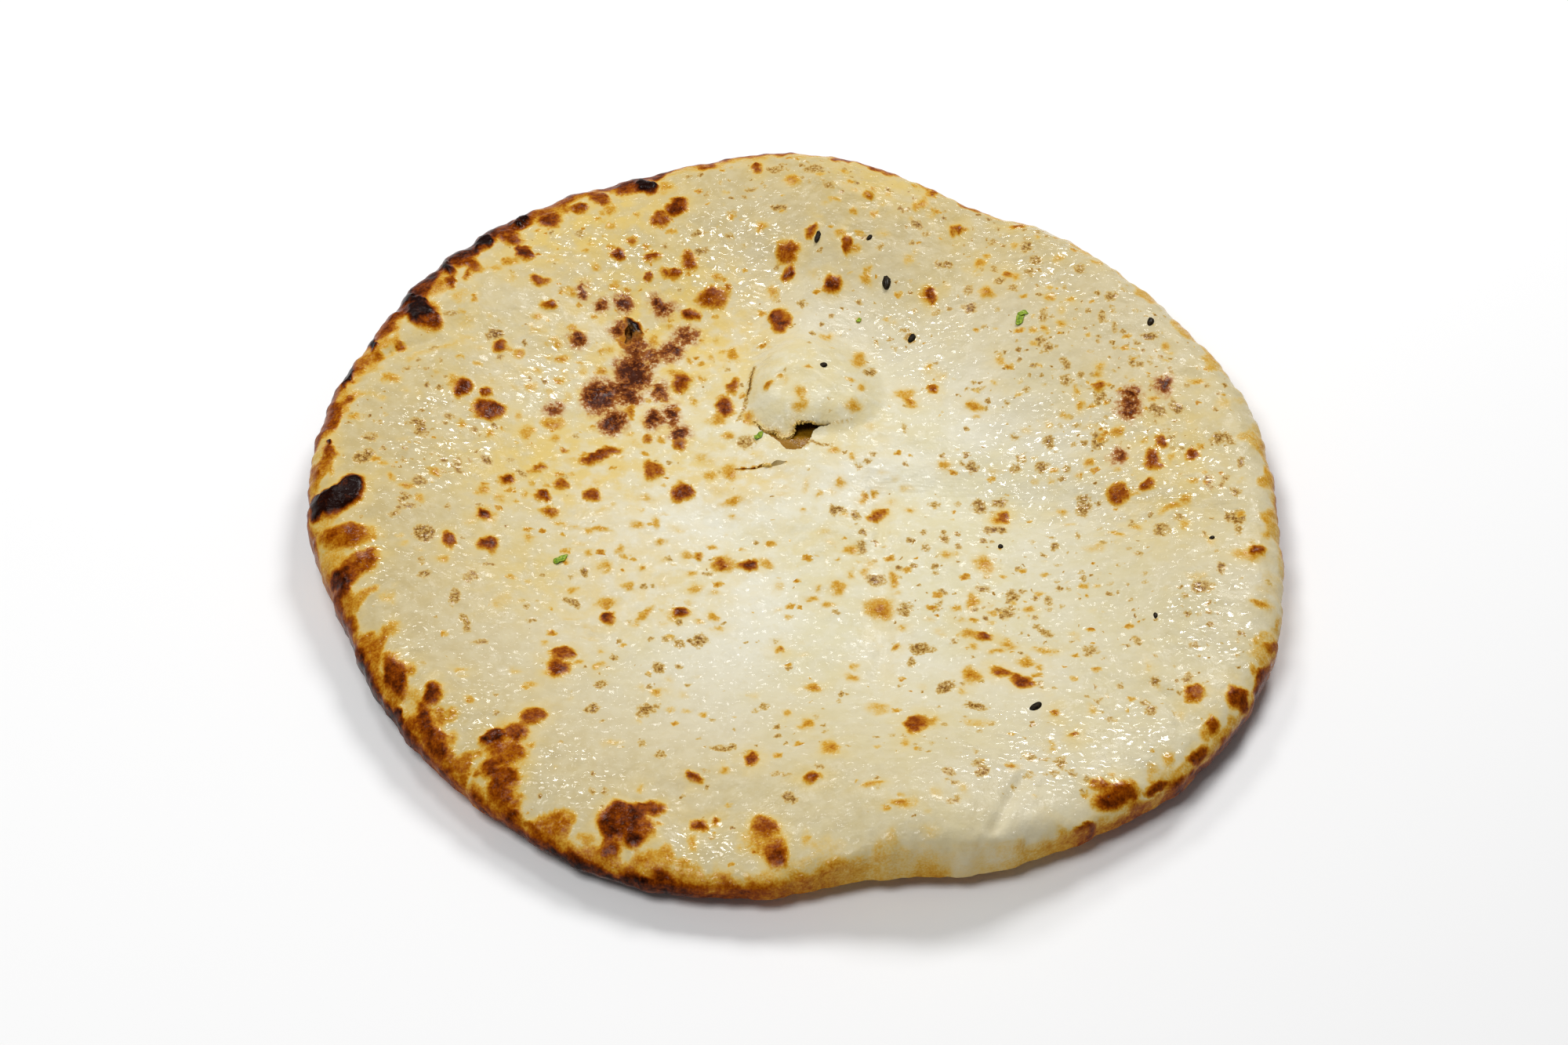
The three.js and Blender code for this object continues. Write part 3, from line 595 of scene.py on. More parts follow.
# The rim browned along its edge: bearing, spread, tone, then the slopes of the roll, counted
# from level, where browning starts and where it is full. Then how that slope strays: degrees,
# wavelength, seed
RIM_TOASTED = [
    (180, 16, 0.7, 50, 90), (160, 18, 0.85, 40, 85), (128, 26, 0.85, 20, 60), (95, 20, 0.66, 20, 60),
    (62, 20, 0.5, 30, 75), (30, 30, 0.3, 50, 100), (0, 20, 0.5, 50, 100), (-38, 24, 0.72, 60, 100),
    (-74, 14, 0.4, 95, 130), (-112, 26, 0.88, 50, 88), (-148, 22, 0.9, 46, 86),
    (-130, 50, 0.14, 40, 95), (-35, 26, 0.16, 40, 90), (150, 40, 0.26, 0, 50), (100, 20, 0.2, 0, 36),
]
RIM_STRAYS = [(9.0, 11, 101), (6.0, 4.5, 102)]
# Wide browned bands inside the edge: bearing, spread, tone, width. Then how their width strays
EDGE_BANDS = [
    (138, 26, 0.8, 10), (168, 18, 0.6, 6), (110, 20, 0.75, 6), (86, 18, 0.6, 4), (-126, 34, 0.46, 7),
    (-152, 20, 0.42, 6), (-36, 20, 0.26, 4), (0, 16, 0.26, 6), (66, 20, 0.42, 3), (30, 24, 0.22, 5),
]
EDGE_STRAYS = [(4.2, 13, 105), (1.8, 5, 106)]
# Where the dough is tanned, and darkened by painted shade of the rim: bearing, spread, strength
TAN_AND_SHADE_LOBES = [(85, 60, 0.6), (10, 40, 0.15), (-145, 45, 0.4), (-100, 30, 0.25), (175, 30, 0.4)]


def seen_in_picture(x, y):
    """Where points on the top of the loaf are seen, in pixels of the picture."""
    right = x - SIGHT_TARGET[0]
    back = y - SIGHT_TARGET[1]
    above = smooth_top(x, y) - SIGHT_TARGET[2]
    rise, level = math.sin(SIGHT_ELEVATION), math.cos(SIGHT_ELEVATION)
    depth = SIGHT_DISTANCE + back * level - above * rise
    scale = LENS / SENSOR_WIDTH * PICTURE_SIZE[0] / depth
    seen_x = PICTURE_SIZE[0] / 2 + scale * right
    seen_y = PICTURE_SIZE[1] / 2 - scale * (back * rise + above * level)
    return seen_x, seen_y


def ellipse_reach(x, y, middle_x, middle_y, across, along, turn):
    """How far points lie out from the middle of an ellipse: 1 on its edge."""
    angle = math.radians(turn)
    dx = x - middle_x
    dy = y - middle_y
    u = (dx * math.cos(angle) + dy * math.sin(angle)) / (across / 2)
    v = (dy * math.cos(angle) - dx * math.sin(angle)) / (along / 2)
    return np.hypot(u, v)


def marks_of(kind):
    """Every mark of a kind: x, y, width, height and turn in pixels of the whole picture."""
    found = []
    for left, top, enlarged, kinds in MARKS_SEEN:
        for x, y, width, height, *turn in kinds.get(kind, []):
            size = (width / enlarged, height / enlarged)
            found.append((left + x / enlarged, top + y / enlarged, *size, sum(turn)))
    return found


def paint_marks(field, seen_x, seen_y, marks, tone, softness=HARD_MARK, halo=0.0, spread=10.0):
    """Raises a field over each mark: most in its middle, falling to a faint halo round its edge."""
    draw = np.random.default_rng(41)
    for mark_x, mark_y, width, height, turn in marks:
        radius = math.sqrt(width * height) / 2
        # Marks differ in strength, and small ones are paler
        strongest = tone * draw.uniform(0.85, 1.15) * (0.75 + 0.25 * soft_step(3.0, 9.0, radius))
        reach = max(width, height) / 2 + spread + 4.0
        near = np.flatnonzero((np.abs(seen_x - mark_x) < reach) & (np.abs(seen_y - mark_y) < reach))
        shape = ellipse_reach(seen_x[near], seen_y[near], mark_x, mark_y, width, height, turn)
        gap = (shape - 1.0) * radius
        core = 1.0 - soft_step(-softness * radius, 3.0 - softness + 0.12 * radius, gap)
        around = halo * (1.0 - soft_step(-2.0, spread, gap))
        field[near] = np.maximum(field[near], strongest * core + around * (1.0 - core))


def patches_at(x, y, patches):
    """Strength of wide patches, soft all over."""
    field = np.zeros_like(x)
    for *patch, strength in patches:
        reach = ellipse_reach(x, y, *patch)
        field = np.maximum(field, strength * (1.0 - soft_step(0.2, 1.1, reach)))
    return field


ALL_MARKS = {kind: marks_of(kind) for kind in (*MARK_TONES, *SCORCH_TONES, "damp")}


def wobbled(x, y):
    """Where points are seen, shifted unevenly, so that marks lose their plain outlines."""
    seen_x, seen_y = seen_in_picture(x, y)
    return rippled(seen_x, x, y, STRAY_ACROSS), rippled(seen_y, x, y, STRAY_UP)


def toast_at(x, y):
    """How brown each point of the top is, by the marks."""
    field = np.zeros_like(x)
    seen = wobbled(x, y)
    for kind, tone in MARK_TONES.items():
        softness = HARD_MARK if tone > 0.5 else SOFT_MARK
        paint_marks(field, *seen, ALL_MARKS[kind], tone, softness, MARK_HALO)
    return field


def scorch_at(x, y):
    """How scorched each point of the top is, by the marks."""
    field = np.zeros_like(x)
    seen = wobbled(x, y)
    for kind, tone in SCORCH_TONES.items():
        paint_marks(field, *seen, ALL_MARKS[kind], tone, SOFT_MARK, SCORCH_HALO, SCORCH_SPREAD)
    return field


# Grooves pulled into the skin: the points each runs through, half-width, depth
GROOVES = [
    ([(57, -103), (53, -111), (49, -120)], 1.6, 1.1),
    ([(98, -84), (96, -76), (92, -70)], 1.5, 0.6),
    ([(-119, 36), (-113, 46), (-107, 50), (-98, 53)], 1.6, 0.9),
    ([(40, -4), (70, -8), (98, -12)], 1.8, 0.5),
    ([(46, -11), (74, -13), (104, -18)], 1.5, 0.4),
    ([(24, -2), (25, -30), (23, -62)], 2.0, 0.5),
    ([(-6, 42), (0, 43.5), (6, 42), (11, 38)], 1.6, -0.5),
    ([(-12, 56), (-8, 72), (-6, 88)], 3.5, 0.9),
]
# Lumps of the skin, finer and finer, and of the underside: height, wavelength, seed
SKIN_LUMPS = [(0.14, 10, 62), (0.08, 5, 63), (0.04, 2.8, 64)]
UNDER_LUMPS = [(0.3, 17, 71), (0.15, 8, 72)]
# Broad swellings, higher on the rim, and how far blisters, charred ones and scorched skin rise
SWELLING_HEIGHT, RIM_SWELLING_HEIGHT, SWELLING_LENGTH = 0.3, 0.15, 24
BLISTER_RISE, CHAR_RISE, SCORCH_RISE = 0.45, 0.7, 0.3


def gap_to_path(x, y, points):
    """Distance from places to a bent path."""
    nearest = np.full_like(x, 1e3)
    for start, end in zip(points, points[1:]):
        nearest = np.minimum(nearest, gap_to_line(x, y, *start, *end))
    return nearest


def grooves_at(x, y):
    """Depth of the grooves."""
    depth = np.zeros_like(x)
    for points, half_width, deep in GROOVES:
        depth = depth + deep * fading(gap_to_path(x, y, points), half_width)
    return depth


def crust_relief(x, y):
    """Unevenness of the baked skin over the smooth form: lumps, blisters and pulled grooves."""
    _, _, share = loaf_place(x, y)
    on_rim = soft_step(0.72, 0.95, share)
    swelling_height = SWELLING_HEIGHT + RIM_SWELLING_HEIGHT * on_rim
    rise = rippled(swelling_height * ripple(x, y, SWELLING_LENGTH, 61), x, y, SKIN_LUMPS)
    toast = toast_at(x, y)
    rise = rise + BLISTER_RISE * soft_step(0.1, 0.6, toast) + CHAR_RISE * soft_step(0.6, 1.0, toast)
    rise = rise + SCORCH_RISE * scorch_at(x, y) - grooves_at(x, y)
    return rise * (1.0 - soft_step(0.97, 1.0, share))


def crust_top(x, y):
    return smooth_top(x, y) + crust_relief(x, y)


def under_relief(x, y):
    """Low lumps under the outer part of the loaf."""
    _, _, share = loaf_place(x, y)
    lumps = rippled(0.0, x, y, UNDER_LUMPS)
    return soft_step(0.5, 0.8, share) * lumps * (1.0 - soft_step(0.96, 1.0, share))


# The underside's lowest and highest places, and three low blisters on it, which the loaf rests on
UNDERSIDE_LEAST = 0.3
UNDERSIDE_MOST = 5.7
RESTING_BEARINGS = (-112, 8, 128)
RESTING_DISTANCE = 78.0
RESTING_HALF_WIDTH = 9.0
RESTING_HALF_HEIGHT = 1.7


def crust_under(x, y):
    height = np.clip(smooth_under(x, y) + under_relief(x, y), UNDERSIDE_LEAST, UNDERSIDE_MOST)
    for bearing in RESTING_BEARINGS:
        foot_x, foot_y = table_place(bearing, RESTING_DISTANCE)
        reach = np.minimum(1.0, np.hypot(x - foot_x, y - foot_y) / RESTING_HALF_WIDTH)
        bowl = RESTING_HALF_HEIGHT * (1.0 - np.sqrt(1.0 - reach * reach))
        height = np.where(reach < 1.0, np.minimum(height, bowl), height)
    return height


# Burnt bumps that stand out of the outline: bearing, spread, height. Then its small waves: how
# many in a full turn, and their height
EDGE_BUMPS = [(144, 2.4, 1.3), (136.7, 2.0, 1.4), (131.2, 2.0, 1.2), (119, 1.6, 0.8), (111, 3.0, 0.6)]
EDGE_WAVES = [(17, 0.25), (31, 0.2), (53, 0.2), (83, 0.15), (127, 0.12), (211, 0.1)]


def edge_wobble(bearing):
    """Small unevenness of the outline, in millimetres, the same after a full turn."""
    draw = np.random.default_rng(81)
    total = np.zeros_like(bearing)
    for turns, height in EDGE_WAVES:
        phase = draw.uniform(0, 6.28)
        total = total + height * np.sin(np.radians(bearing) * turns + phase)
    return total + lobes_at(bearing, EDGE_BUMPS)


def ring_points(rings):
    """Ring number and bearing of each point of a disc whose ring k holds 6k points."""
    ring = [np.zeros(1)]
    bearing = [np.zeros(1)]
    for k in range(1, rings + 1):
        ring.append(np.full(6 * k, float(k)))
        bearing.append(np.arange(6 * k) * 60.0 / k)
    return np.concatenate(ring), np.concatenate(bearing)


def ring_start(ring):
    """Number of a ring's first point."""
    return 1 + 3 * ring * (ring - 1) if ring else 0


def ring_faces(rings):
    """Triangles between the rings of such a disc."""
    faces = []
    for ring in range(1, rings + 1):
        step = np.arange(6 * ring)
        inner_step = step - step // ring
        inner_count = max(1, 6 * (ring - 1))
        outer = ring_start(ring) + step
        next_outer = ring_start(ring) + (step + 1) % (6 * ring)
        inner = ring_start(ring - 1) + inner_step % inner_count
        next_inner = ring_start(ring - 1) + (inner_step + 1) % inner_count
        faces.append(np.stack([inner, outer, next_outer], axis=1))
        between = step % ring < ring - 1
        faces.append(np.stack([inner, next_outer, next_inner], axis=1)[between])
    return np.concatenate(faces)


def mesh_piece(name, points, faces):
    """A mesh object from points in millimetres."""
    mesh = bpy.data.meshes.new(name)
    mesh.from_pydata((np.asarray(points) * MM).tolist(), [], np.asarray(faces).tolist())
    mesh.validate()
    piece = bpy.data.objects.new(name, mesh)
    bpy.context.collection.objects.link(piece)
    return piece


def sheet_places(rings, roll_rings, width_at, height_at):
    """Points of the crust's upper or lower sheet: even rings, then rings round the roll."""
    ring, bearing = ring_points(rings)
    flat_rings = rings - roll_rings
    width = width_at(bearing)
    edge = outline_radius(bearing)
    angle = np.maximum(0.0, ring - flat_rings) / roll_rings * np.pi / 2
    distance = (edge - width) * np.minimum(1.0, ring / flat_rings) + width * np.sin(angle)
    x, y = table_place(bearing, distance)
    z = height_at(x, y)
    swell = 1.0 + edge_wobble(bearing) / edge * soft_step(0.9, 1.0, distance / edge)
    x = POLE[0] + (x - POLE[0]) * swell
    y = POLE[1] + (y - POLE[1]) * swell
    return np.stack([x, y, z], axis=1)


TOP_RINGS = 150
TOP_ROLL_RINGS = 20
UNDER_RINGS = TOP_RINGS // 2
UNDER_ROLL_RINGS = 9


def under_roll_width(bearing):
    return np.full_like(bearing, UNDER_ROLL_WIDTH)


def crust_mesh():
    """Closed crust: a fine upper sheet, a coarser lower one, and a band that joins them."""
    upper = sheet_places(TOP_RINGS, TOP_ROLL_RINGS, roll_width, crust_top)
    lower = sheet_places(UNDER_RINGS, UNDER_ROLL_RINGS, under_roll_width, crust_under)
    rim_start = ring_start(UNDER_RINGS)
    count = 6 * UNDER_RINGS
    edge_start = ring_start(TOP_RINGS)
    # The last lower ring stands just under the edge, half way to the ring before it
    inner = lower[ring_start(UNDER_RINGS - 1):rim_start]
    inner_bearing = np.arange(len(inner)) * 360.0 / len(inner)
    rim_bearing = np.arange(count) * 360.0 / count
    edge = upper[edge_start::2]
    for axis in range(3):
        inside = np.interp(rim_bearing, inner_bearing, inner[:, axis], period=360.0)
        lower[rim_start:, axis] = 0.5 * inside + 0.5 * edge[:, axis]
    offset = len(upper)
    faces = [ring_faces(TOP_RINGS), ring_faces(UNDER_RINGS)[:, ::-1] + offset]
    step = np.arange(count)
    under = offset + rim_start + step
    under_next = offset + rim_start + (step + 1) % count
    first = edge_start + 2 * step
    middle = first + 1
    last = edge_start + (2 * step + 2) % (2 * count)
    faces += [
        np.stack([under, middle, first], axis=1),
        np.stack([under, under_next, middle], axis=1),
        np.stack([under_next, last, middle], axis=1),
    ]
    return mesh_piece("bread_crust", np.concatenate([upper, lower]), np.concatenate(faces))


bread = crust_mesh()

# The pocket inside, the low hollow behind the tear, and what opens the crust
POCKET_REACH = 0.8
POCKET_HALF_HEIGHT = 1.7
POCKET_FOLLOWS_CRUST = 0.8
POCKET_RINGS = 44
HOLLOW_MIDDLE = (0.5, 26.8)
HOLLOW_HALF_SIZE = (13.0, 12.0)
HOLLOW_FLOOR = 5.2
HOLLOW_EDGE = 7.0
HOLLOW_RINGS = 16
SKIN = 1.0
CUTTERS_TOP = 30.0
FAR_LIP = [
    (-10.4, 28.0), (-8.6, 26.7), (-7.2, 25.2), (-5.4, 24.8), (-3.9, 24.4), (-3.3, 22.9), (-2.4, 22.3),
    (-0.6, 22.2), (0.7, 23.5), (0.8, 24.8), (1.6, 25.9), (2.8, 26.1), (5.4, 26.1), (6.8, 25.9),
    (9.2, 26.0), (10.8, 26.0),
]
NEAR_LIP = [
    (8.6, 25.2), (7.0, 24.6), (5.8, 23.4), (5.0, 20.8), (3.0, 17.8), (1.0, 17.0), (-0.6, 16.9),
    (-1.8, 17.4), (-3.0, 19.4), (-5.4, 21.9), (-7.5, 23.6), (-9.0, 25.8),
]
CRACK_LINE = [(-15, 10.6), (-11.5, 10.7), (-9.2, 11), (-7.7, 11.8), (-6, 11.3), (-3.7, 12.4), (-1.6, 12.6)]
CRACK_HALF_WIDTHS = [0.1, 0.25, 0.3, 0.45, 0.3, 0.9, 0.2]
CRACK_FLOOR = 7.6
CREASE_LINE = [
    (-10.3, 48), (-10.8, 45.5), (-11.3, 42), (-11.5, 39.5), (-12.3, 36.4), (-13.1, 32.4), (-14.3, 28.6),
]
CREASE_HALF_WIDTHS = [0.04, 0.08, 0.05, 0.18, 0.16, 0.1, 0.04]
CREASE_FLOOR = 10.2
HAIR_CRACK = [(1.6, 17.6), (2.7, 18.1), (5.4, 20.6), (7.5, 18.9), (11.0, 18.9)]
SIDE_CRACK = [(10.8, 26.0), (13.2, 26.4), (16.4, 27.4)]
# Cracks browned along their edges, with painted shade on their edges and walls: where they run, and how
# dark they get
SEAMS_AND_SHADE = [(CRACK_LINE, 0.5)]
# The crease and the hair cracks drawn as dark lines, partly their own colour and partly painted shade:
# where they run, and how dark they get
FAINT_SEAMS_AND_SHADE = [(CREASE_LINE, 1.0), (HAIR_CRACK, 0.9), (SIDE_CRACK, 0.3)]
# Half-width of the browned lines and painted shade along the cracks and the crease
SEAM_SHADE_HALF_WIDTH = 0.5
BURST_MIDDLE = (-45.6, 61.0)
BURST_FLOOR = 9.0
BURST_OUTLINE = [
    (-46.6, 58.6), (-45.2, 58.2), (-44.4, 60.2), (-44.6, 62.6), (-45.8, 64.0), (-46.6, 62.2), (-46.2, 60.2),
]


def pocket_places(rings, clearance, follow_navel):
    """Upper and lower points of the pocket, or of the filling a clearance inside it."""
    ring, bearing = ring_points(rings)
    distance = POCKET_REACH * outline_radius(bearing) * ring / POCKET_RINGS
    x, y = table_place(bearing, distance)
    middle = middle_height(bearing, distance / outline_radius(bearing))
    half = POCKET_HALF_HEIGHT * np.sqrt(1.0 - (ring / POCKET_RINGS) ** 4) - clearance
    half[ring == rings] = 0.0
    rise = fold_rise(x, y) + (navel_rise(x, y) if follow_navel else 0.0)
    up = np.where(half > 0, POCKET_FOLLOWS_CRUST * np.maximum(rise, -half), 0.0)
    return np.stack([x, y, middle + half + up], axis=1), np.stack([x, y, middle - half], axis=1)


def closed_shape(rings, upper, lower):
    """Points and faces of a solid between two ringed sheets that meet at their last ring."""
    faces = ring_faces(rings)
    last = ring_start(rings)
    under = np.arange(len(lower)) + len(upper)
    under[last:] = np.arange(last, len(upper))
    points = np.concatenate([upper, lower[:last]])
    return points, np.concatenate([faces, under[faces][:, ::-1]])


def prism(name, outline, low, high):
    """Upright prism over an outline that runs either way round."""
    corners = np.asarray(outline, dtype=float)
    following = np.roll(corners, -1, axis=0)
    area = np.sum(corners[:, 0] * following[:, 1] - following[:, 0] * corners[:, 1])
    if area < 0:
        corners = corners[::-1]
    count = len(corners)
    shape = bmesh.new()
    floor = [shape.verts.new((x * MM, y * MM, low * MM)) for x, y in corners]
    roof = [shape.verts.new((x * MM, y * MM, high * MM)) for x, y in corners]
    for i in range(count):
        j = (i + 1) % count
        shape.faces.new((floor[i], floor[j], roof[j], roof[i]))
    shape.faces.new(floor[::-1])
    shape.faces.new(roof)
    bmesh.ops.triangulate(shape, faces=shape.faces[:])
    mesh = bpy.data.meshes.new(name)
    shape.to_mesh(mesh)
    shape.free()
    piece = bpy.data.objects.new(name, mesh)
    bpy.context.collection.objects.link(piece)
    return piece


def rounded_outline(points, steps=5):
    """A closed curve through the points, split finely."""
    points = np.asarray(points, dtype=float)
    before, after = np.roll(points, 1, axis=0), np.roll(points, -1, axis=0)
    beyond = np.roll(points, -2, axis=0)
    curve = []
    for t in np.arange(steps) / steps:
        curve.append(0.5 * (2 * points + (after - before) * t
                            + (2 * before - 5 * points + 4 * after - beyond) * t ** 2
                            + (3 * points - before - 3 * after + beyond) * t ** 3))
    return np.stack(curve, axis=1).reshape(-1, 2)


def ragged(outline, size, seed):
    """An outline with torn, uneven edges."""
    draw = np.random.default_rng(seed)
    return outline + draw.uniform(-size, size, outline.shape)


def slit_outline(line, half_widths):
    """Outline of a narrow slit along a line, wider in some places than in others."""
    line = np.asarray(line, dtype=float)
    heading = np.gradient(line, axis=0)
    heading /= np.linalg.norm(heading, axis=1)[:, None]
    across = np.stack([-heading[:, 1], heading[:, 0]], axis=1) * np.asarray(half_widths)[:, None]
    return np.concatenate([line - across, (line + across)[::-1]])


def hollow_piece():
    """The space under the torn skin, which leaves only a thin skin above it."""
    ring, bearing = ring_points(HOLLOW_RINGS)
    heading = np.radians(bearing)
    x = HOLLOW_MIDDLE[0] + HOLLOW_HALF_SIZE[0] * ring / HOLLOW_RINGS * np.cos(heading)
    y = HOLLOW_MIDDLE[1] + HOLLOW_HALF_SIZE[1] * ring / HOLLOW_RINGS * np.sin(heading)
    last = ring == HOLLOW_RINGS
    roof = np.where(last, HOLLOW_EDGE, np.maximum(crust_top(x, y) - SKIN, HOLLOW_EDGE))
    floor_height = np.where(last, HOLLOW_EDGE, HOLLOW_FLOOR)
    upper = np.stack([x, y, roof], axis=1)
    lower = np.stack([x, y, floor_height], axis=1)
    return mesh_piece("hollow_cutter", *closed_shape(HOLLOW_RINGS, upper, lower))


def cut_away(piece, cutters):
    """Cuts the cutters out of a piece and removes them."""
    for cutter in cutters:
        cut = piece.modifiers.new("cut", "BOOLEAN")
        cut.operation = "DIFFERENCE"
        cut.solver = "MANIFOLD"
        cut.object = cutter
    bpy.context.view_layer.update()
    shaped = piece.evaluated_get(bpy.context.evaluated_depsgraph_get())
    mesh = bpy.data.meshes.new_from_object(shaped)
    piece.modifiers.clear()
    piece.data = mesh
    for cutter in cutters:
        bpy.data.objects.remove(cutter)


pocket = closed_shape(POCKET_RINGS, *pocket_places(POCKET_RINGS, 0.0, True))
tear = ragged(rounded_outline(FAR_LIP + NEAR_LIP), 0.16, 91)
crack = ragged(rounded_outline(slit_outline(CRACK_LINE, CRACK_HALF_WIDTHS), 3), 0.07, 92)
crease = ragged(rounded_outline(slit_outline(CREASE_LINE, CREASE_HALF_WIDTHS), 2), 0.05, 94)
burst = ragged(rounded_outline(BURST_OUTLINE, 3), 0.12, 93)
cut_away(bread, [
    mesh_piece("pocket_cutter", *pocket),
    hollow_piece(),
    prism("tear_cutter", tear, HOLLOW_FLOOR, CUTTERS_TOP),
    prism("crack_cutter", crack, CRACK_FLOOR, CUTTERS_TOP),
    prism("crease_cutter", crease, CREASE_FLOOR, CUTTERS_TOP),
    prism("burst_cutter", burst, BURST_FLOOR, CUTTERS_TOP),
])

# The torn flap of the navel: how far its edge moves, where that edge runs once its teeth are
# smoothed out, where its two ends come to rest, and how far back it bends
FLAP_FORWARD = 0.6
FLAP_RAISED = 0.3
FLAP_DROOP = 0.5
DROOP_ENDS = (-3.0, 0.8)
FLAP_EDGE = 26.4
TONGUE_MIDDLE, TONGUE_SPREAD, TONGUE_REACH = -1.6, 5.0, 3.2
FLAP_LEFT = (-10.6, -6.0)
FLAP_RIGHT = (5.5, 10.6)
FLAP_BENDS = 7.0
FLAP_MARGIN = 0.35


def flap_share(x, y):
    """How far points share in the flap's movement: 1 along its torn edge, 0 past the tear."""
    lip = np.asarray(FAR_LIP)
    torn_edge = np.interp(x, lip[:, 0], lip[:, 1])
    smooth_edge = FLAP_EDGE - TONGUE_REACH * fading(x - TONGUE_MIDDLE, TONGUE_SPREAD)
    ends = soft_step(*FLAP_LEFT, x) * (1.0 - soft_step(*FLAP_RIGHT, x))
    behind = np.maximum(0.0, y - smooth_edge)
    return fading(behind, FLAP_BENDS) * ends * (y > torn_edge - FLAP_MARGIN)


def flap_rise(x):
    """How far the flap's torn edge is lifted: its left half droops onto the near lip."""
    return FLAP_RAISED - FLAP_DROOP * (1.0 - soft_step(*DROOP_ENDS, x))


def set_field(mesh, name, values):
    """Keeps a value for each point of a mesh, for its finish to read."""
    layer = mesh.attributes.new(name, "FLOAT", "POINT")
    layer.data.foreach_set("value", np.ascontiguousarray(values, dtype=np.float32))


def mesh_points(mesh):
    """A mesh's points in millimetres."""
    flat = np.empty(len(mesh.vertices) * 3)
    mesh.vertices.foreach_get("co", flat)
    return flat.reshape(-1, 3) / MM


def roll_slope(bearing, distance, on_top):
    """Slope of the crust where it rolls over the rim: 0 level, 90 upright, 180 underneath."""
    width = np.where(on_top, roll_width(bearing), UNDER_ROLL_WIDTH)
    reach = np.clip((distance - outline_radius(bearing) + width) / width, 0.0, 1.0)
    slope = np.degrees(np.arcsin(reach))
    return np.where(on_top, slope, 180.0 - slope)


def rim_toast(x, y, bearing, slope):
    """Browning that grows down the roll of the rim."""
    uneven = rippled(0.0, x, y, RIM_STRAYS)
    toast = np.zeros_like(x)
    for centre, spread, tone, starts, full in RIM_TOASTED:
        strength = lobes_at(bearing, [(centre, spread, tone)])
        toast = np.maximum(toast, strength * soft_step(starts, full, slope + uneven))
    return toast


def edge_toast(x, y, bearing, distance):
    """Browned bands along the outline."""
    uneven = rippled(0.0, x, y, EDGE_STRAYS)
    inwards = outline_radius(bearing) - distance
    toast = np.zeros_like(x)
    for centre, spread, tone, width in EDGE_BANDS:
        strength = lobes_at(bearing, [(centre, spread, tone)])
        toast = np.maximum(toast, strength * (1.0 - soft_step(0.4 * width, width, inwards + uneven)))
    return toast


# Points further than this below the skin are inside the dough, which is torn there, but not out
# at the rim
SKIN_DEPTH = 0.4
TORN_ENDS = 0.9
# Where marks and rim browning end under the loaf, as shares of its radius. Then the part of the
# wall where marks fade, by bearing, spread and strength, how far they fade and over which slopes
MARKS_BELOW = (0.9, 1.0)
RIM_BELOW = (0.88, 0.97)
FADED_WALL = [(130, 70, 1.3)]
WALL_FADE = 0.7
WALL_SLOPES = (62, 100)
UNDERSIDE_TONE = 0.12
DARKEST_TOAST = 1.1
BURST_SIZE = (6.0, 9.5)
BURST_DEEP, BURST_EDGE = 0.85, 0.45
SEAM_WHOLE = 1.2
# How the tan and the painted shade of the rim grow outwards, their least strength everywhere, and their
# greatest
TAN_AND_SHADE_GROWS = (0.2, 0.9)
TAN_AND_SHADE_EVERYWHERE = 0.45
DARKEST_TAN_AND_SHADE = 1.1
# The least of each strewn effect, and the steepest slope that it reaches
LEAST_WET = 0.3
LEAST_FRECKLED, STEEPEST_FRECKLED = 0.15, 60
LEAST_POROUS, STEEPEST_POROUS = 0.08, 45
PULLED_HALF_WIDTH = 11.0
CRUMBLY_HALF_WIDTH = 1.3
CRUMBLY_ENDS = (0.0, 6.0)


def underside_toast(x, y, share):
    """Brown patches under the loaf, fewer towards the rim."""
    strayed_x = x + 6.0 * ripple(x, y, 30, 109)
    strayed_y = y + 6.0 * ripple(x, y, 30, 110)
    patches = 0.5 * np.maximum(0.0, ripple(strayed_x, strayed_y, 34, 103) - 0.15)
    patches = patches + 0.14 * np.maximum(0.0, ripple(strayed_x, strayed_y, 9, 108))
    return (UNDERSIDE_TONE + patches) * (1.0 - 0.8 * soft_step(0.85, 0.96, share))


def wall_keeps(x, y, z, bearing, slope):
    """How much of a mark stays where the crust turns down into its wall."""
    rolled = slope + 16.0 * ripple(x + 2.0 * z, y - 2.0 * z, 6, 107)
    faded = np.minimum(1.0, lobes_at(bearing, FADED_WALL))
    return 1.0 - WALL_FADE * soft_step(*WALL_SLOPES, rolled) * faded


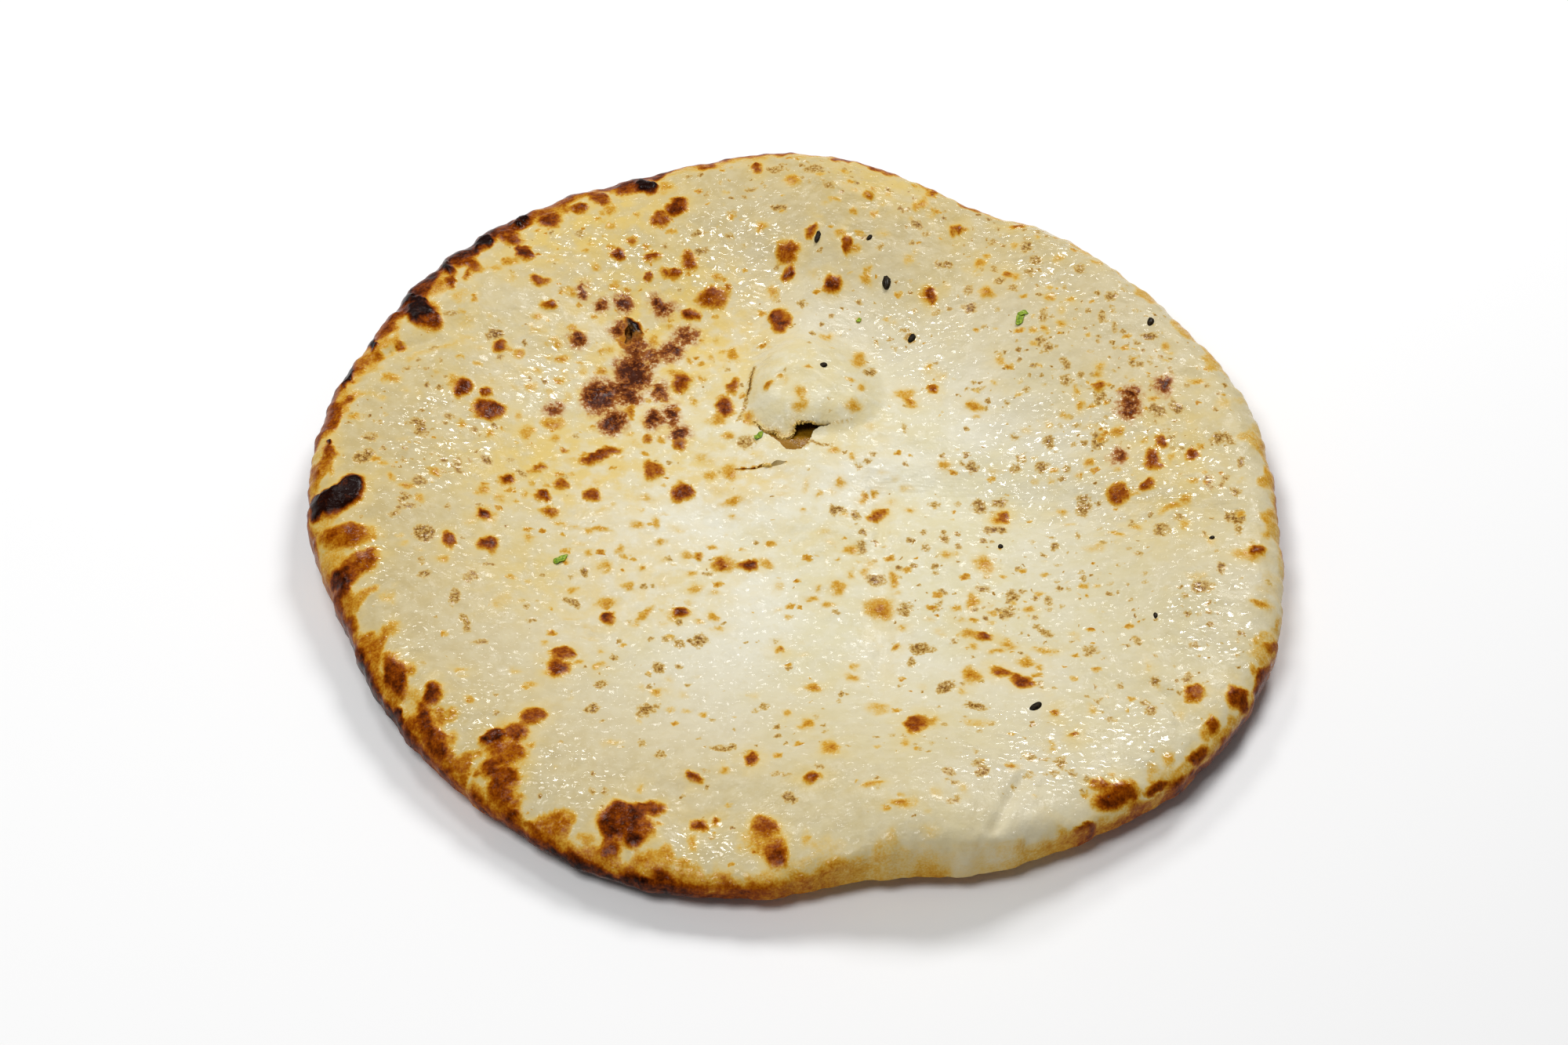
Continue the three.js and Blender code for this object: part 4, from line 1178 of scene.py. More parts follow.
def paint_crust(mesh):
    """Writes what the fire and the butter did to each point of the crust, and painted shade on its rim and
    along its cracks.
    """
    x, y, z = mesh_points(mesh).T
    bearing, distance, share = loaf_place(x, y)
    top, under = crust_top(x, y), crust_under(x, y)
    on_top = z > 0.5 * (top + under)
    slope = roll_slope(bearing, distance, on_top)
    sunk = top - z > SKIN_DEPTH
    raised = z - under > SKIN_DEPTH
    torn = (sunk & raised & (share < TORN_ENDS)).astype(float)
    burst = (ellipse_reach(x, y, *BURST_MIDDLE, *BURST_SIZE, 0) < 1.0) & raised
    torn[burst] = 0.0

    marks = toast_at(x, y) * np.where(on_top, 1.0, soft_step(*MARKS_BELOW, share))
    marks = marks * wall_keeps(x, y, z, bearing, slope)
    rim = rim_toast(x + z, y - z, bearing, slope)
    rim = rim * np.where(on_top, 1.0, soft_step(*RIM_BELOW, share))
    below = np.where(on_top, 0.0, underside_toast(x, y, share))
    toast = np.maximum(marks, np.maximum(rim, below))
    toast = np.maximum(toast, edge_toast(x, y, bearing, distance))
    toast[burst] = np.maximum(toast[burst], np.where(sunk, BURST_DEEP, BURST_EDGE)[burst])
    # Cracks browned along their edges, with painted shade on their edges and walls in place of torn dough
    for line, tone in SEAMS_AND_SHADE:
        gap = gap_to_path(x, y, line)
        broken = 0.55 + 0.75 * ripple(x, y, 2.4, 104)
        toast = np.maximum(toast, tone * broken * fading(gap, SEAM_SHADE_HALF_WIDTH) * on_top)
        torn[(gap < SEAM_WHOLE) & on_top] = 0.0

    seen = wobbled(x, y)
    damp = np.zeros_like(x)
    paint_marks(damp, *seen, ALL_MARKS["damp"], 1.0)
    # Dark lines along the crease and the hair cracks: the pores' colour, partly painted shade of the cracks
    for line, tone in FAINT_SEAMS_AND_SHADE:
        gap = gap_to_path(x, y, line)
        damp = np.maximum(damp, tone * fading(gap, SEAM_SHADE_HALF_WIDTH))
        torn[(gap < SEAM_WHOLE) & on_top & (line is not HAIR_CRACK)] = 0.0
    whole = 1.0 - torn
    wet = np.full_like(x, LEAST_WET)
    paint_marks(wet, *seen, WET_SEEN, 1.0)
    butter = patches_at(x, y, BUTTERED)
    for kind, glow in GLOW_TONES.items():
        paint_marks(butter, *seen, ALL_MARKS[kind], 0.0, HARD_MARK, glow, GLOW_SPREAD)
    freckled = np.maximum(LEAST_FRECKLED, patches_at(x, y, FRECKLED))
    porous = np.maximum(LEAST_POROUS, patches_at(x, y, POROUS))
    # Tan and painted shade of the rim, by bearing round the loaf
    tan_and_shade_strength = np.clip(TAN_AND_SHADE_EVERYWHERE + lobes_at(bearing, TAN_AND_SHADE_LOBES), 0.0, DARKEST_TAN_AND_SHADE)
    pulled_gap = gap_to_line(x, y, *PULLED_LINE)
    crumbly = fading(gap_to_path(x, y, FAR_LIP), CRUMBLY_HALF_WIDTH) * (z > HOLLOW_EDGE)

    fields = {
        "toast": np.clip(toast, 0.0, DARKEST_TOAST) * whole,
        "scorch": scorch_at(x, y) * on_top * whole,
        "damp": damp * on_top * whole,
        "wet": wet * on_top,
        "butter": butter * on_top,
        "freckled": freckled * on_top * whole * (slope < STEEPEST_FRECKLED),
        "porous": porous * on_top * whole * (slope < STEEPEST_POROUS),
        "tan_and_shade": soft_step(*TAN_AND_SHADE_GROWS, share) * tan_and_shade_strength,
        "pulled": fading(pulled_gap, PULLED_HALF_WIDTH) * on_top,
        "torn": torn,
        "crumbly": crumbly * (1.0 - soft_step(*CRUMBLY_ENDS, x)),
        "underside": 1.0 - on_top,
    }
    for name, values in fields.items():
        set_field(mesh, name, values)


def lift_flap(mesh):
    """Draws the navel's torn skin forwards over the opening, up on the right, down on the left."""
    points = mesh_points(mesh)
    share = flap_share(points[:, 0], points[:, 1]) * (points[:, 2] > HOLLOW_EDGE)
    points[:, 1] -= FLAP_FORWARD * share
    points[:, 2] += flap_rise(points[:, 0]) * share
    mesh.vertices.foreach_set("co", (points * MM).ravel())
    mesh.update()


SHARP_ANGLE = math.radians(55)
paint_crust(bread.data)
lift_flap(bread.data)
bread.data.shade_smooth()
bread.data.set_sharp_from_angle(angle=SHARP_ANGLE)


def tint(code):
    """A colour given as six hexadecimal digits, as the shader's light values."""
    levels = [int(code[i:i + 2], 16) / 255 for i in (0, 2, 4)]
    return (*[v / 12.92 if v <= 0.04045 else ((v + 0.055) / 1.055) ** 2.4 for v in levels], 1.0)


def feed(tree, socket, value):
    """Links a socket to another, or sets its value."""
    if isinstance(value, bpy.types.NodeSocket):
        tree.links.new(value, socket)
    else:
        socket.default_value = value


def place_mm(tree):
    """The point on the piece, in millimetres."""
    coordinates = tree.nodes.new("ShaderNodeTexCoord")
    scale = tree.nodes.new("ShaderNodeVectorMath")
    scale.operation = "SCALE"
    scale.inputs["Scale"].default_value = 1.0 / MM
    tree.links.new(coordinates.outputs["Object"], scale.inputs[0])
    return scale.outputs["Vector"]


def noise(tree, place, size, detail=2.0):
    """Soft noise with lumps of about a size in millimetres."""
    node = tree.nodes.new("ShaderNodeTexNoise")
    tree.links.new(place, node.inputs["Vector"])
    node.inputs["Scale"].default_value = 1.0 / size
    node.inputs["Detail"].default_value = detail
    return node.outputs["Fac"]


def field(tree, name):
    """A value kept for each point of the mesh."""
    node = tree.nodes.new("ShaderNodeAttribute")
    node.attribute_name = name
    return node.outputs["Fac"]


def math_node(tree, operation, first, second):
    node = tree.nodes.new("ShaderNodeMath")
    node.operation = operation
    feed(tree, node.inputs[0], first)
    feed(tree, node.inputs[1], second)
    return node.outputs[0]


def times(tree, first, *others):
    """Product of values."""
    product = first
    for other in others:
        product = math_node(tree, "MULTIPLY", product, other)
    return product


def remap(tree, value, low, high, to_low=0.0, to_high=1.0):
    """A value taken softly from one range to another."""
    node = tree.nodes.new("ShaderNodeMapRange")
    node.interpolation_type = "SMOOTHSTEP"
    feed(tree, node.inputs["Value"], value)
    feed(tree, node.inputs["From Min"], low)
    feed(tree, node.inputs["From Max"], high)
    feed(tree, node.inputs["To Min"], to_low)
    feed(tree, node.inputs["To Max"], to_high)
    return node.outputs["Result"]


def blend(tree, factor, first, second):
    """A colour between two others."""
    node = tree.nodes.new("ShaderNodeMix")
    node.data_type = "RGBA"
    feed(tree, node.inputs["Factor"], factor)
    feed(tree, node.inputs["A"], first)
    feed(tree, node.inputs["B"], second)
    return node.outputs["Result"]


def between_tints(tree, factor, tints):
    first, second = tints
    return blend(tree, factor, tint(first), tint(second))


def shade_ramp(tree, value, stops):
    """A colour that runs through tints as a value grows."""
    node = tree.nodes.new("ShaderNodeValToRGB")
    ramp = node.color_ramp
    while len(ramp.elements) < len(stops):
        ramp.elements.new(0.5)
    for element, (position, code) in zip(ramp.elements, stops):
        element.position = position
        element.color = tint(code)
    tree.links.new(value, node.inputs["Fac"])
    return node.outputs["Color"]


def effect_group(name, inputs, outputs):
    """A shader node group with number inputs and outputs, and its two end nodes."""
    group = bpy.data.node_groups.new(name, "ShaderNodeTree")
    for label, value in inputs:
        socket = group.interface.new_socket(label, in_out="INPUT", socket_type="NodeSocketFloat")
        socket.default_value = value
    for label in outputs:
        group.interface.new_socket(label, in_out="OUTPUT", socket_type="NodeSocketFloat")
    return group, group.nodes.new("NodeGroupInput"), group.nodes.new("NodeGroupOutput")


def use_group(tree, group, **values):
    """Places a group in a material, with the material's own values."""
    node = tree.nodes.new("ShaderNodeGroup")
    node.node_tree = group
    for label, value in values.items():
        feed(tree, node.inputs[label], value)
    return node


# Butter lies in patches: glossy where it pools, duller between
butter_film, film_in, film_out = effect_group(
    "butter_film", [("Patch", 12.0), ("Dry", 0.5), ("Wet", 0.2)], ["Roughness", "Wetness"])
film_place = place_mm(butter_film)
film_scale = math_node(butter_film, "DIVIDE", 1.0, film_in.outputs["Patch"])
film_noise = noise(butter_film, film_place, 1.0, 3.0)
butter_film.links.new(film_scale, film_noise.node.inputs["Scale"])
film_wet = remap(butter_film, film_noise, 0.4, 0.62)
film_rough = remap(butter_film, film_wet, 0.0, 1.0, film_in.outputs["Dry"], film_in.outputs["Wet"])
butter_film.links.new(film_rough, film_out.inputs["Roughness"])
butter_film.links.new(film_wet, film_out.inputs["Wetness"])

# Fine grain of baked or cooked food: a coarse and a fine part, as one height
FINE_PART_SCALE = 2.7
food_grain, grain_in, grain_out = effect_group(
    "food_grain", [("Size", 1.0), ("Fineness", 0.5)], ["Height"])
grain_place = place_mm(food_grain)
grain_scale = math_node(food_grain, "DIVIDE", 1.0, grain_in.outputs["Size"])
grain_coarse = noise(food_grain, grain_place, 1.0, 2.0)
food_grain.links.new(grain_scale, grain_coarse.node.inputs["Scale"])
grain_fine = noise(food_grain, grain_place, 1.0, 1.0)
fine_scale = times(food_grain, grain_scale, FINE_PART_SCALE)
food_grain.links.new(fine_scale, grain_fine.node.inputs["Scale"])
grain_mixed = times(food_grain, grain_fine, grain_in.outputs["Fineness"])
grain_height = math_node(food_grain, "ADD", grain_coarse, grain_mixed)
food_grain.links.new(grain_height, grain_out.inputs["Height"])


def new_finish(name):
    """An empty material with its shader."""
    finish = bpy.data.materials.new(name)
    finish.use_nodes = True
    return finish, finish.node_tree, finish.node_tree.nodes["Principled BSDF"]


def bump(tree, height, strength, distance_mm, below=None):
    """The surface's direction over a relief, which may lie on another."""
    node = tree.nodes.new("ShaderNodeBump")
    feed(tree, node.inputs["Strength"], strength)
    node.inputs["Distance"].default_value = distance_mm * MM
    tree.links.new(height, node.inputs["Height"])
    if below is not None:
        tree.links.new(below, node.inputs["Normal"])
    return node.outputs["Normal"]


def turned_place(tree, place, turn, scale):
    """Places turned about the upright and stretched, for marks that run one way."""
    node = tree.nodes.new("ShaderNodeMapping")
    node.inputs["Rotation"].default_value = (0.0, 0.0, math.radians(turn))
    node.inputs["Scale"].default_value = scale
    tree.links.new(place, node.inputs["Vector"])
    return node.outputs["Vector"]


def shifted_place(tree, place, size, shift_mm):
    """Places shifted unevenly, so that what is drawn there loses its plain outline."""
    wander = noise(tree, place, size, 2.0).node.outputs["Color"]
    centred = tree.nodes.new("ShaderNodeVectorMath")
    centred.operation = "SUBTRACT"
    centred.inputs[1].default_value = (0.5, 0.5, 0.5)
    tree.links.new(wander, centred.inputs[0])
    moved = tree.nodes.new("ShaderNodeVectorMath")
    moved.operation = "MULTIPLY_ADD"
    moved.inputs[1].default_value = (2 * shift_mm,) * 3
    tree.links.new(centred.outputs["Vector"], moved.inputs[0])
    tree.links.new(place, moved.inputs[2])
    return moved.outputs["Vector"]


def cells_of(tree, place, spacing):
    """Cells strewn at about a spacing: distance from the middle of each, and three chances for each."""
    cells = tree.nodes.new("ShaderNodeTexVoronoi")
    cells.voronoi_dimensions = "2D"
    cells.inputs["Scale"].default_value = 1.0 / spacing
    tree.links.new(place, cells.inputs["Vector"])
    chance = tree.nodes.new("ShaderNodeSeparateColor")
    tree.links.new(cells.outputs["Color"], chance.inputs["Color"])
    return cells.outputs["Distance"], *chance.outputs


def strewn_spots(tree, place, spacing, least, greatest, density):
    """Small spots, more where the density is greater: their mask, and a chance value for each."""
    distance, size_chance, place_chance, tone_chance = cells_of(tree, place, spacing)
    radius = remap(tree, size_chance, 0.0, 1.0, least / spacing, greatest / spacing)
    mask = remap(tree, distance, radius, times(tree, radius, 0.1))
    wanted = math_node(tree, "LESS_THAN", place_chance, density)
    return times(tree, mask, wanted), tone_chance


def butter_beads(tree, place, spacing):
    """Low domes side by side, some of them wet: their height, and how much butter is on each."""
    distance, wet_chance, *_ = cells_of(tree, place, spacing)
    height = math_node(tree, "SUBTRACT", 1.0, times(tree, distance, distance))
    return height, remap(tree, wet_chance, 0.2, 0.6, 0.12, 1.0)


DOUGH_TINTS = ("e8e4d0", "e1d9b6")
DOUGH_BLOOM = "ece8d6"
DOUGH_FLECK = "d8ca9a"
TAN_AND_SHADE_TINTS = ("c4b07c", "cdbc8f")
BUTTER_TINT = "e2c266"
UNDERSIDE_TINT = "d6c08c"
TORN_TINTS = ("e6c878", "c09838")
CRUMBLY_TINTS = ("b98a2a", "e2c777")
TOAST_STOPS = [
    (0.0, "e2cd90"), (0.14, "d9b456"), (0.28, "cb942b"), (0.42, "ae680b"),
    (0.56, "8e4200"), (0.72, "622600"), (0.86, "3f1500"), (1.0, "1a0400"),
]
SCORCH_STOPS = [(0.0, "d8a552"), (0.25, "bf8236"), (0.5, "985620"), (0.75, "6c3412"), (1.0, "461c08")]
PORE_STOPS = [(0.0, "dccb98"), (0.3, "caaa64"), (0.6, "a87d38"), (1.0, "784e18")]


def crust_finish():
    finish, tree, shader = new_finish("baked_crust")
    place = place_mm(tree)
    broad = noise(tree, place, 34.0)
    gathered = remap(tree, noise(tree, place, 13.0), 0.4, 0.6, 0.35, 1.25)
    patchy = noise(tree, place, 4.5, 4.0)
    fine = noise(tree, place, 1.6, 3.0)
    grain = noise(tree, place, 0.6)

    # Pale dough, tanned and darkened by painted shade towards the rim, yellow where butter soaked in
    dough = between_tints(tree, remap(tree, broad, 0.35, 0.65), DOUGH_TINTS)
    dough = blend(tree, remap(tree, patchy, 0.42, 0.6, 0.0, 0.3), dough, tint(DOUGH_BLOOM))
    dough = blend(tree, remap(tree, fine, 0.5, 0.72, 0.0, 0.2), dough, tint(DOUGH_FLECK))
    mottled = noise(tree, place, 3.4, 4.0)
    tan_and_shade_colour = between_tints(tree, remap(tree, mottled, 0.36, 0.64), TAN_AND_SHADE_TINTS)
    dough = blend(tree, times(tree, field(tree, "tan_and_shade"), 0.9), dough, tan_and_shade_colour)
    soaked = times(tree, field(tree, "butter"), remap(tree, patchy, 0.35, 0.65, 0.86, 0.3))
    dough = blend(tree, soaked, dough, tint(BUTTER_TINT))
    dough = blend(tree, times(tree, field(tree, "underside"), 0.7), dough, tint(UNDERSIDE_TINT))

    # Damp pores, read in the picture or strewn
    shifted = shifted_place(tree, place, 1.5, 1.2)
    crinkled = noise(tree, place, 1.1, 3.0)
    damp = times(tree, field(tree, "damp"), remap(tree, crinkled, 0.32, 0.58, 0.35, 0.95))
    porous = times(tree, field(tree, "porous"), gathered)
    pores, pore_tone = strewn_spots(tree, shifted, 3.2, 0.4, 1.6, porous)
    pores = times(tree, pores, remap(tree, pore_tone, 0.0, 1.0, 0.28, 0.85))
    pores = math_node(tree, "MAXIMUM", pores, damp)
    pores = times(tree, pores, remap(tree, grain, 0.35, 0.6, 0.45, 1.1))
    dough = blend(tree, remap(tree, pores, 0.0, 0.3), dough, shade_ramp(tree, pores, PORE_STOPS))

    # Browning, its edges broken up, and golden freckles between the marks
    streaked = turned_place(tree, shifted, 12.0, (0.8, 1.0, 1.0))
    freckled = times(tree, field(tree, "freckled"), gathered)
    freckles, freckle_tone = strewn_spots(tree, streaked, 4.2, 0.7, 2.0, freckled)
    freckles = times(tree, freckles, remap(tree, freckle_tone, 0.0, 1.0, 0.06, 0.36))
    toast = math_node(tree, "MAXIMUM", field(tree, "toast"), freckles)
    broken = remap(tree, grain, 0.3, 0.7, -0.06, 0.06)
    broken = times(tree, broken, remap(tree, toast, 0.03, 0.3))
    uneven = remap(tree, fine, 0.3, 0.7, 0.86, 1.12)
    uneven = times(tree, uneven, remap(tree, patchy, 0.35, 0.65, 0.88, 1.12))
    toast = math_node(tree, "ADD", times(tree, toast, uneven), broken)
    colour = blend(tree, remap(tree, toast, 0.0, 0.24), dough, shade_ramp(tree, toast, TOAST_STOPS))

    # Reddish scorched patches, speckled
    specks = math_node(tree, "ADD", fine, times(tree, grain, 0.6))
    scorch = times(tree, field(tree, "scorch"), remap(tree, specks, 0.58, 0.98, 0.5, 1.2))
    scorched = shade_ramp(tree, scorch, SCORCH_STOPS)
    colour = blend(tree, remap(tree, scorch, 0.08, 0.5), colour, scorched)

    # Torn dough inside the loaf, and its crumbly edge
    colour = blend(tree, field(tree, "torn"), colour, between_tints(tree, fine, TORN_TINTS))
    crumbly = times(tree, field(tree, "crumbly"), remap(tree, fine, 0.3, 0.6, 0.2, 0.9))
    crumbs = between_tints(tree, remap(tree, grain, 0.4, 0.6), CRUMBLY_TINTS)
    colour = blend(tree, crumbly, colour, crumbs)
    tree.links.new(colour, shader.inputs["Base Color"])

    # Soft skin, drawn into fine lines along the pulled fold
    film = use_group(tree, butter_film, Patch=9.0, Dry=0.36, Wet=0.2)
    tree.links.new(film.outputs["Roughness"], shader.inputs["Roughness"])
    pulled = noise(tree, turned_place(tree, place, 9.7, (0.1, 1.0, 1.0)), 1.3)
    pulled = times(tree, pulled, field(tree, "pulled"))
    wrinkles = bump(tree, math_node(tree, "ADD", patchy, pulled), 0.5, 0.4)
    skin = use_group(tree, food_grain, Size=2.0, Fineness=0.25)
    soft_skin = bump(tree, skin.outputs["Height"], 0.45, 0.4, wrinkles)
    tree.links.new(soft_skin, shader.inputs["Normal"])
    shader.inputs["Specular IOR Level"].default_value = 0.06

    # Butter standing in wet beads, little on toast and scorch
    drawn_out = turned_place(tree, shifted_place(tree, place, 4.0, 1.8), 35.0, (0.7, 1.15, 1.0))
    bead_height, bead_wet = butter_beads(tree, drawn_out, 2.2)
    standing = times(
        tree, field(tree, "wet"), remap(tree, patchy, 0.34, 0.52, 0.35, 1.0),
        remap(tree, toast, 0.15, 0.5, 1.0, 0.15), remap(tree, scorch, 0.2, 0.6, 1.0, 0.15), bead_wet)
    tree.links.new(standing, shader.inputs["Coat Weight"])
    shader.inputs["Coat Roughness"].default_value = 0.12
    beads = bump(tree, bead_height, 1.0, 0.62, wrinkles)
    tree.links.new(beads, shader.inputs["Coat Normal"])
    return finish


bread.data.materials.clear()
bread.data.materials.append(crust_finish())
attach(bread, "root")
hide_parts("bread")

# The filling
# A thin, moist layer of coconut and sugar, rolled into the dough. It runs through the pocket
# and shows as a khaki floor where the navel has torn open.

FILLING_CLEARANCE = 0.3
FILLING_RINGS = POCKET_RINGS - 2
FILLING_SUNK = 0.25
# Where it is pushed up under the lips of the tear: x, y, half-width, half-length, height
FILLING_SWELLS = [(0.0, 21.0, 9.0, 5.5, 2.9), (-6.5, 24.5, 3.0, 2.5, 1.0)]


def filling_piece():
    upper, lower = pocket_places(FILLING_RINGS, FILLING_CLEARANCE, False)
    x, y = upper[:, 0], upper[:, 1]
    inside = 1.0 - soft_step(0.9, 1.0, np.arange(len(upper)) / len(upper))
    upper[:, 2] -= inside * (FILLING_SUNK + FILLING_SUNK * ripple(x, y, 6, 111))
    for swell_x, swell_y, across, along, height in FILLING_SWELLS:
        reach = ((x - swell_x) / across) ** 2 + ((y - swell_y) / along) ** 2
        upper[:, 2] += height * np.exp(-reach)
    piece = mesh_piece("coconut_filling", *closed_shape(FILLING_RINGS, upper, lower))
    piece.data.shade_smooth()
    return piece


def grainy_finish(name, grain, ends, tints, film, relief, specular):
    """Finish of moist or small pieces: two tints by the grain, a film of butter, a fine relief."""
    finish, tree, shader = new_finish(name)
    size, fineness = grain
    height = use_group(tree, food_grain, Size=size, Fineness=fineness).outputs["Height"]
    colour = between_tints(tree, remap(tree, height, *ends), tints)
    tree.links.new(colour, shader.inputs["Base Color"])
    patch, dry, wet = film
    gloss = use_group(tree, butter_film, Patch=patch, Dry=dry, Wet=wet)
    tree.links.new(gloss.outputs["Roughness"], shader.inputs["Roughness"])
    tree.links.new(bump(tree, height, *relief), shader.inputs["Normal"])
    shader.inputs["Specular IOR Level"].default_value = specular
    return finish


filling = filling_piece()
filling.data.materials.append(grainy_finish(
    "moist_filling", grain=(1.4, 0.7), ends=(0.45, 0.95), tints=("7e5408", "9c6e14"),
    film=(5.0, 0.4, 0.25), relief=(0.5, 0.4), specular=0.2))
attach(filling, "root")
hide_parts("filling")

# Torn crumbs
# Yellow crumbs of sweet dough and coconut that cling to the torn edge of the navel's flap and
# sit in the crack in front of it. Many small lumps, baked on where they lie.

CRUMBS = 120
CRUMB_LEAST, CRUMB_GREATEST = 0.15, 0.42
CRUMB_ROUGHNESS = 0.22
# More crumbs along the left of the flap, each strayed a little and just below its edge
CRUMBS_ALONG = (1.6, 2.2)
CRUMB_STRAYS = (0.3, 0.3, 0.35)
CRUMB_HANGS = (0, -0.05, -0.55)
# Crumbs in the crack: x, y, size
CRACK_CRUMBS = [(-6.6, 11.5, 0.75), (-5.6, 11.4, 0.5), (-7.6, 11.6, 0.4), (-9.4, 11.0, 0.35)]
CRACK_CRUMB_ROUGHNESS = 0.25
CRACK_CRUMB_SEED = 500
CRACK_CRUMB_SUNK = 0.2


def lump_shape(seed, roughness):
    """Points and faces of a small uneven lump of unit size."""
    shape = bmesh.new()
    bmesh.ops.create_icosphere(shape, subdivisions=2, radius=1.0)
    draw = np.random.default_rng(seed)
    points = np.array([vert.co[:] for vert in shape.verts])
    points *= 1.0 + roughness * draw.uniform(-1, 1, (len(points), 1))
    faces = np.array([[vert.index for vert in face.verts] for face in shape.faces])
    shape.free()
    return points, faces


def joined_piece(name, parts):
    """One smooth mesh object from the points and faces of many parts."""
    points, faces, offset = [], [], 0
    for part_points, part_faces in parts:
        points.append(part_points)
        faces.append(part_faces + offset)
        offset += len(part_points)
    piece = mesh_piece(name, np.concatenate(points), np.concatenate(faces))
    piece.data.shade_smooth()
    return piece


def flap_edge_place(share):
    """A place on the torn edge of the flap, from 0 at its left end to 1 at its right end."""
    lip = np.asarray(FAR_LIP)
    step = share * (len(lip) - 1)
    x = np.array([np.interp(step, np.arange(len(lip)), lip[:, 0])])
    y = np.array([np.interp(step, np.arange(len(lip)), lip[:, 1])])
    moved = flap_share(x, y)
    return x[0], y[0] - FLAP_FORWARD * moved[0], (crust_top(x, y) + flap_rise(x) * moved)[0]


def torn_crumbs():
    draw = np.random.default_rng(121)
    parts = []
    for number in range(CRUMBS):
        size = draw.uniform(CRUMB_LEAST, CRUMB_GREATEST)
        place = np.add(flap_edge_place(draw.beta(*CRUMBS_ALONG)), CRUMB_HANGS)
        shift = draw.uniform(-1, 1, 3) * CRUMB_STRAYS
        points, faces = lump_shape(number, CRUMB_ROUGHNESS)
        parts.append((points * size + place + shift, faces))
    for number, (x, y, size) in enumerate(CRACK_CRUMBS):
        z = crust_top(np.array([x]), np.array([y]))[0] - CRACK_CRUMB_SUNK * size
        points, faces = lump_shape(number + CRACK_CRUMB_SEED, CRACK_CRUMB_ROUGHNESS)
        parts.append((points * size + (x, y, z), faces))
    return joined_piece("torn_crumbs", parts)


crumbs = torn_crumbs()
crumbs.data.materials.append(grainy_finish(
    "sweet_crumb", grain=(0.5, 0.6), ends=(0.5, 1.0), tints=("b98f2c", "e2c26a"),
    film=(2.0, 0.5, 0.25), relief=(0.6, 0.15), specular=0.5))
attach(crumbs, "root")

# Seeds
# Cumin and black seeds strewn on the dough before baking, pressed half into the crust. Each is
# a ridged spindle, dark brown to black.

# x, y, length, width, turn
SEEDS = [
    (27, 80.7, 6, 2.4, 90), (7.7, 94.4, 6, 1.6, 80), (33.8, 61.3, 3.8, 2.0, 70),
    (61.5, -77.2, 4, 2.2, 40), (22.3, 94.9, 2.8, 1.4, 60), (99.7, 59.2, 3.4, 2, 80),
    (93.9, -46.4, 2.4, 1.2, 90), (55.3, -17.1, 2, 1.5, 80), (110.4, -20.5, 1.8, 1.3, 30),
    (8.8, 44.6, 2.4, 1.9, 20),
]
SEED_SUNK = 0.15
SEED_STATIONS = 11
SEED_SIDES = 14
SEED_RIDGES = 7
SEED_RIDGE_HEIGHT = 0.09
SEED_BEND = 0.05
SEED_FLATNESS = 0.75
SEED_FULLNESS = 0.55


def seed_shape(length, width):
    """Points and faces of one seed lying along x, its two tips included."""
    along = np.sin(np.linspace(-1, 1, SEED_STATIONS) * np.pi / 2)
    turn = np.arange(SEED_SIDES) * 2 * np.pi / SEED_SIDES
    points = [(-length / 2, 0, 0)]
    for share in along[1:-1]:
        radius = width / 2 * (1.0 - share * share) ** SEED_FULLNESS
        ridged = radius * (1.0 + SEED_RIDGE_HEIGHT * np.cos(SEED_RIDGES * turn))
        bend = SEED_BEND * length * share * share
        for angle, reach in zip(turn, ridged):
            across = reach * math.cos(angle) + bend
            points.append((share * length / 2, across, SEED_FLATNESS * reach * math.sin(angle)))
    points.append((length / 2, 0, 0))
    faces = []
    last = len(points) - 1
    for side in range(SEED_SIDES):
        after = (side + 1) % SEED_SIDES
        faces.append((0, 1 + after, 1 + side))
        for station in range(SEED_STATIONS - 3):
            low = 1 + station * SEED_SIDES
            high = low + SEED_SIDES
            faces += [(low + side, low + after, high + after), (low + side, high + after, high + side)]
        tip = 1 + (SEED_STATIONS - 3) * SEED_SIDES
        faces.append((tip + side, tip + after, last))
    return np.array(points), np.array(faces)


def laid_on_crust(points, x, y, turn, rise):
    """A shape turned about the upright and laid on the crust at a place."""
    cosine, sine = math.cos(math.radians(turn)), math.sin(math.radians(turn))
    spin = np.array([[cosine, sine, 0], [-sine, cosine, 0], [0, 0, 1]])
    height = crust_top(np.array([float(x)]), np.array([float(y)]))[0]
    return points @ spin + (x, y, height + rise)


def strewn_seeds():
    parts = []
    for x, y, length, width, turn in SEEDS:
        points, faces = seed_shape(length, width)
        parts.append((laid_on_crust(points, x, y, turn, -SEED_SUNK), faces))
    return joined_piece("strewn_seeds", parts)


seeds = strewn_seeds()
seeds.data.materials.append(grainy_finish(
    "toasted_seed", grain=(0.8, 0.5), ends=(0.5, 0.95), tints=("070502", "2c200c"),
    film=(3.0, 0.6, 0.3), relief=(0.4, 0.12), specular=0.12))
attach(seeds, "root")

# Herb flecks
# Shreds of green coriander leaf, stuck to the buttered crust and caught in the torn navel. Each
# is a thin curled blade.

# x, y, length, width, turn
HERB_FLECKS = [
    (63.9, 63.1, 6, 2, 70), (65.1, 64.7, 4.4, 1.7, 20), (-60.8, -22.9, 4.6, 2, 40),
    (-8.8, 22.2, 3.6, 1.7, 55), (19, 67.5, 2, 1.2, 60),
]
HERB_RINGS = 7
HERB_THICKNESS = 0.28
HERB_RISE = 0.2


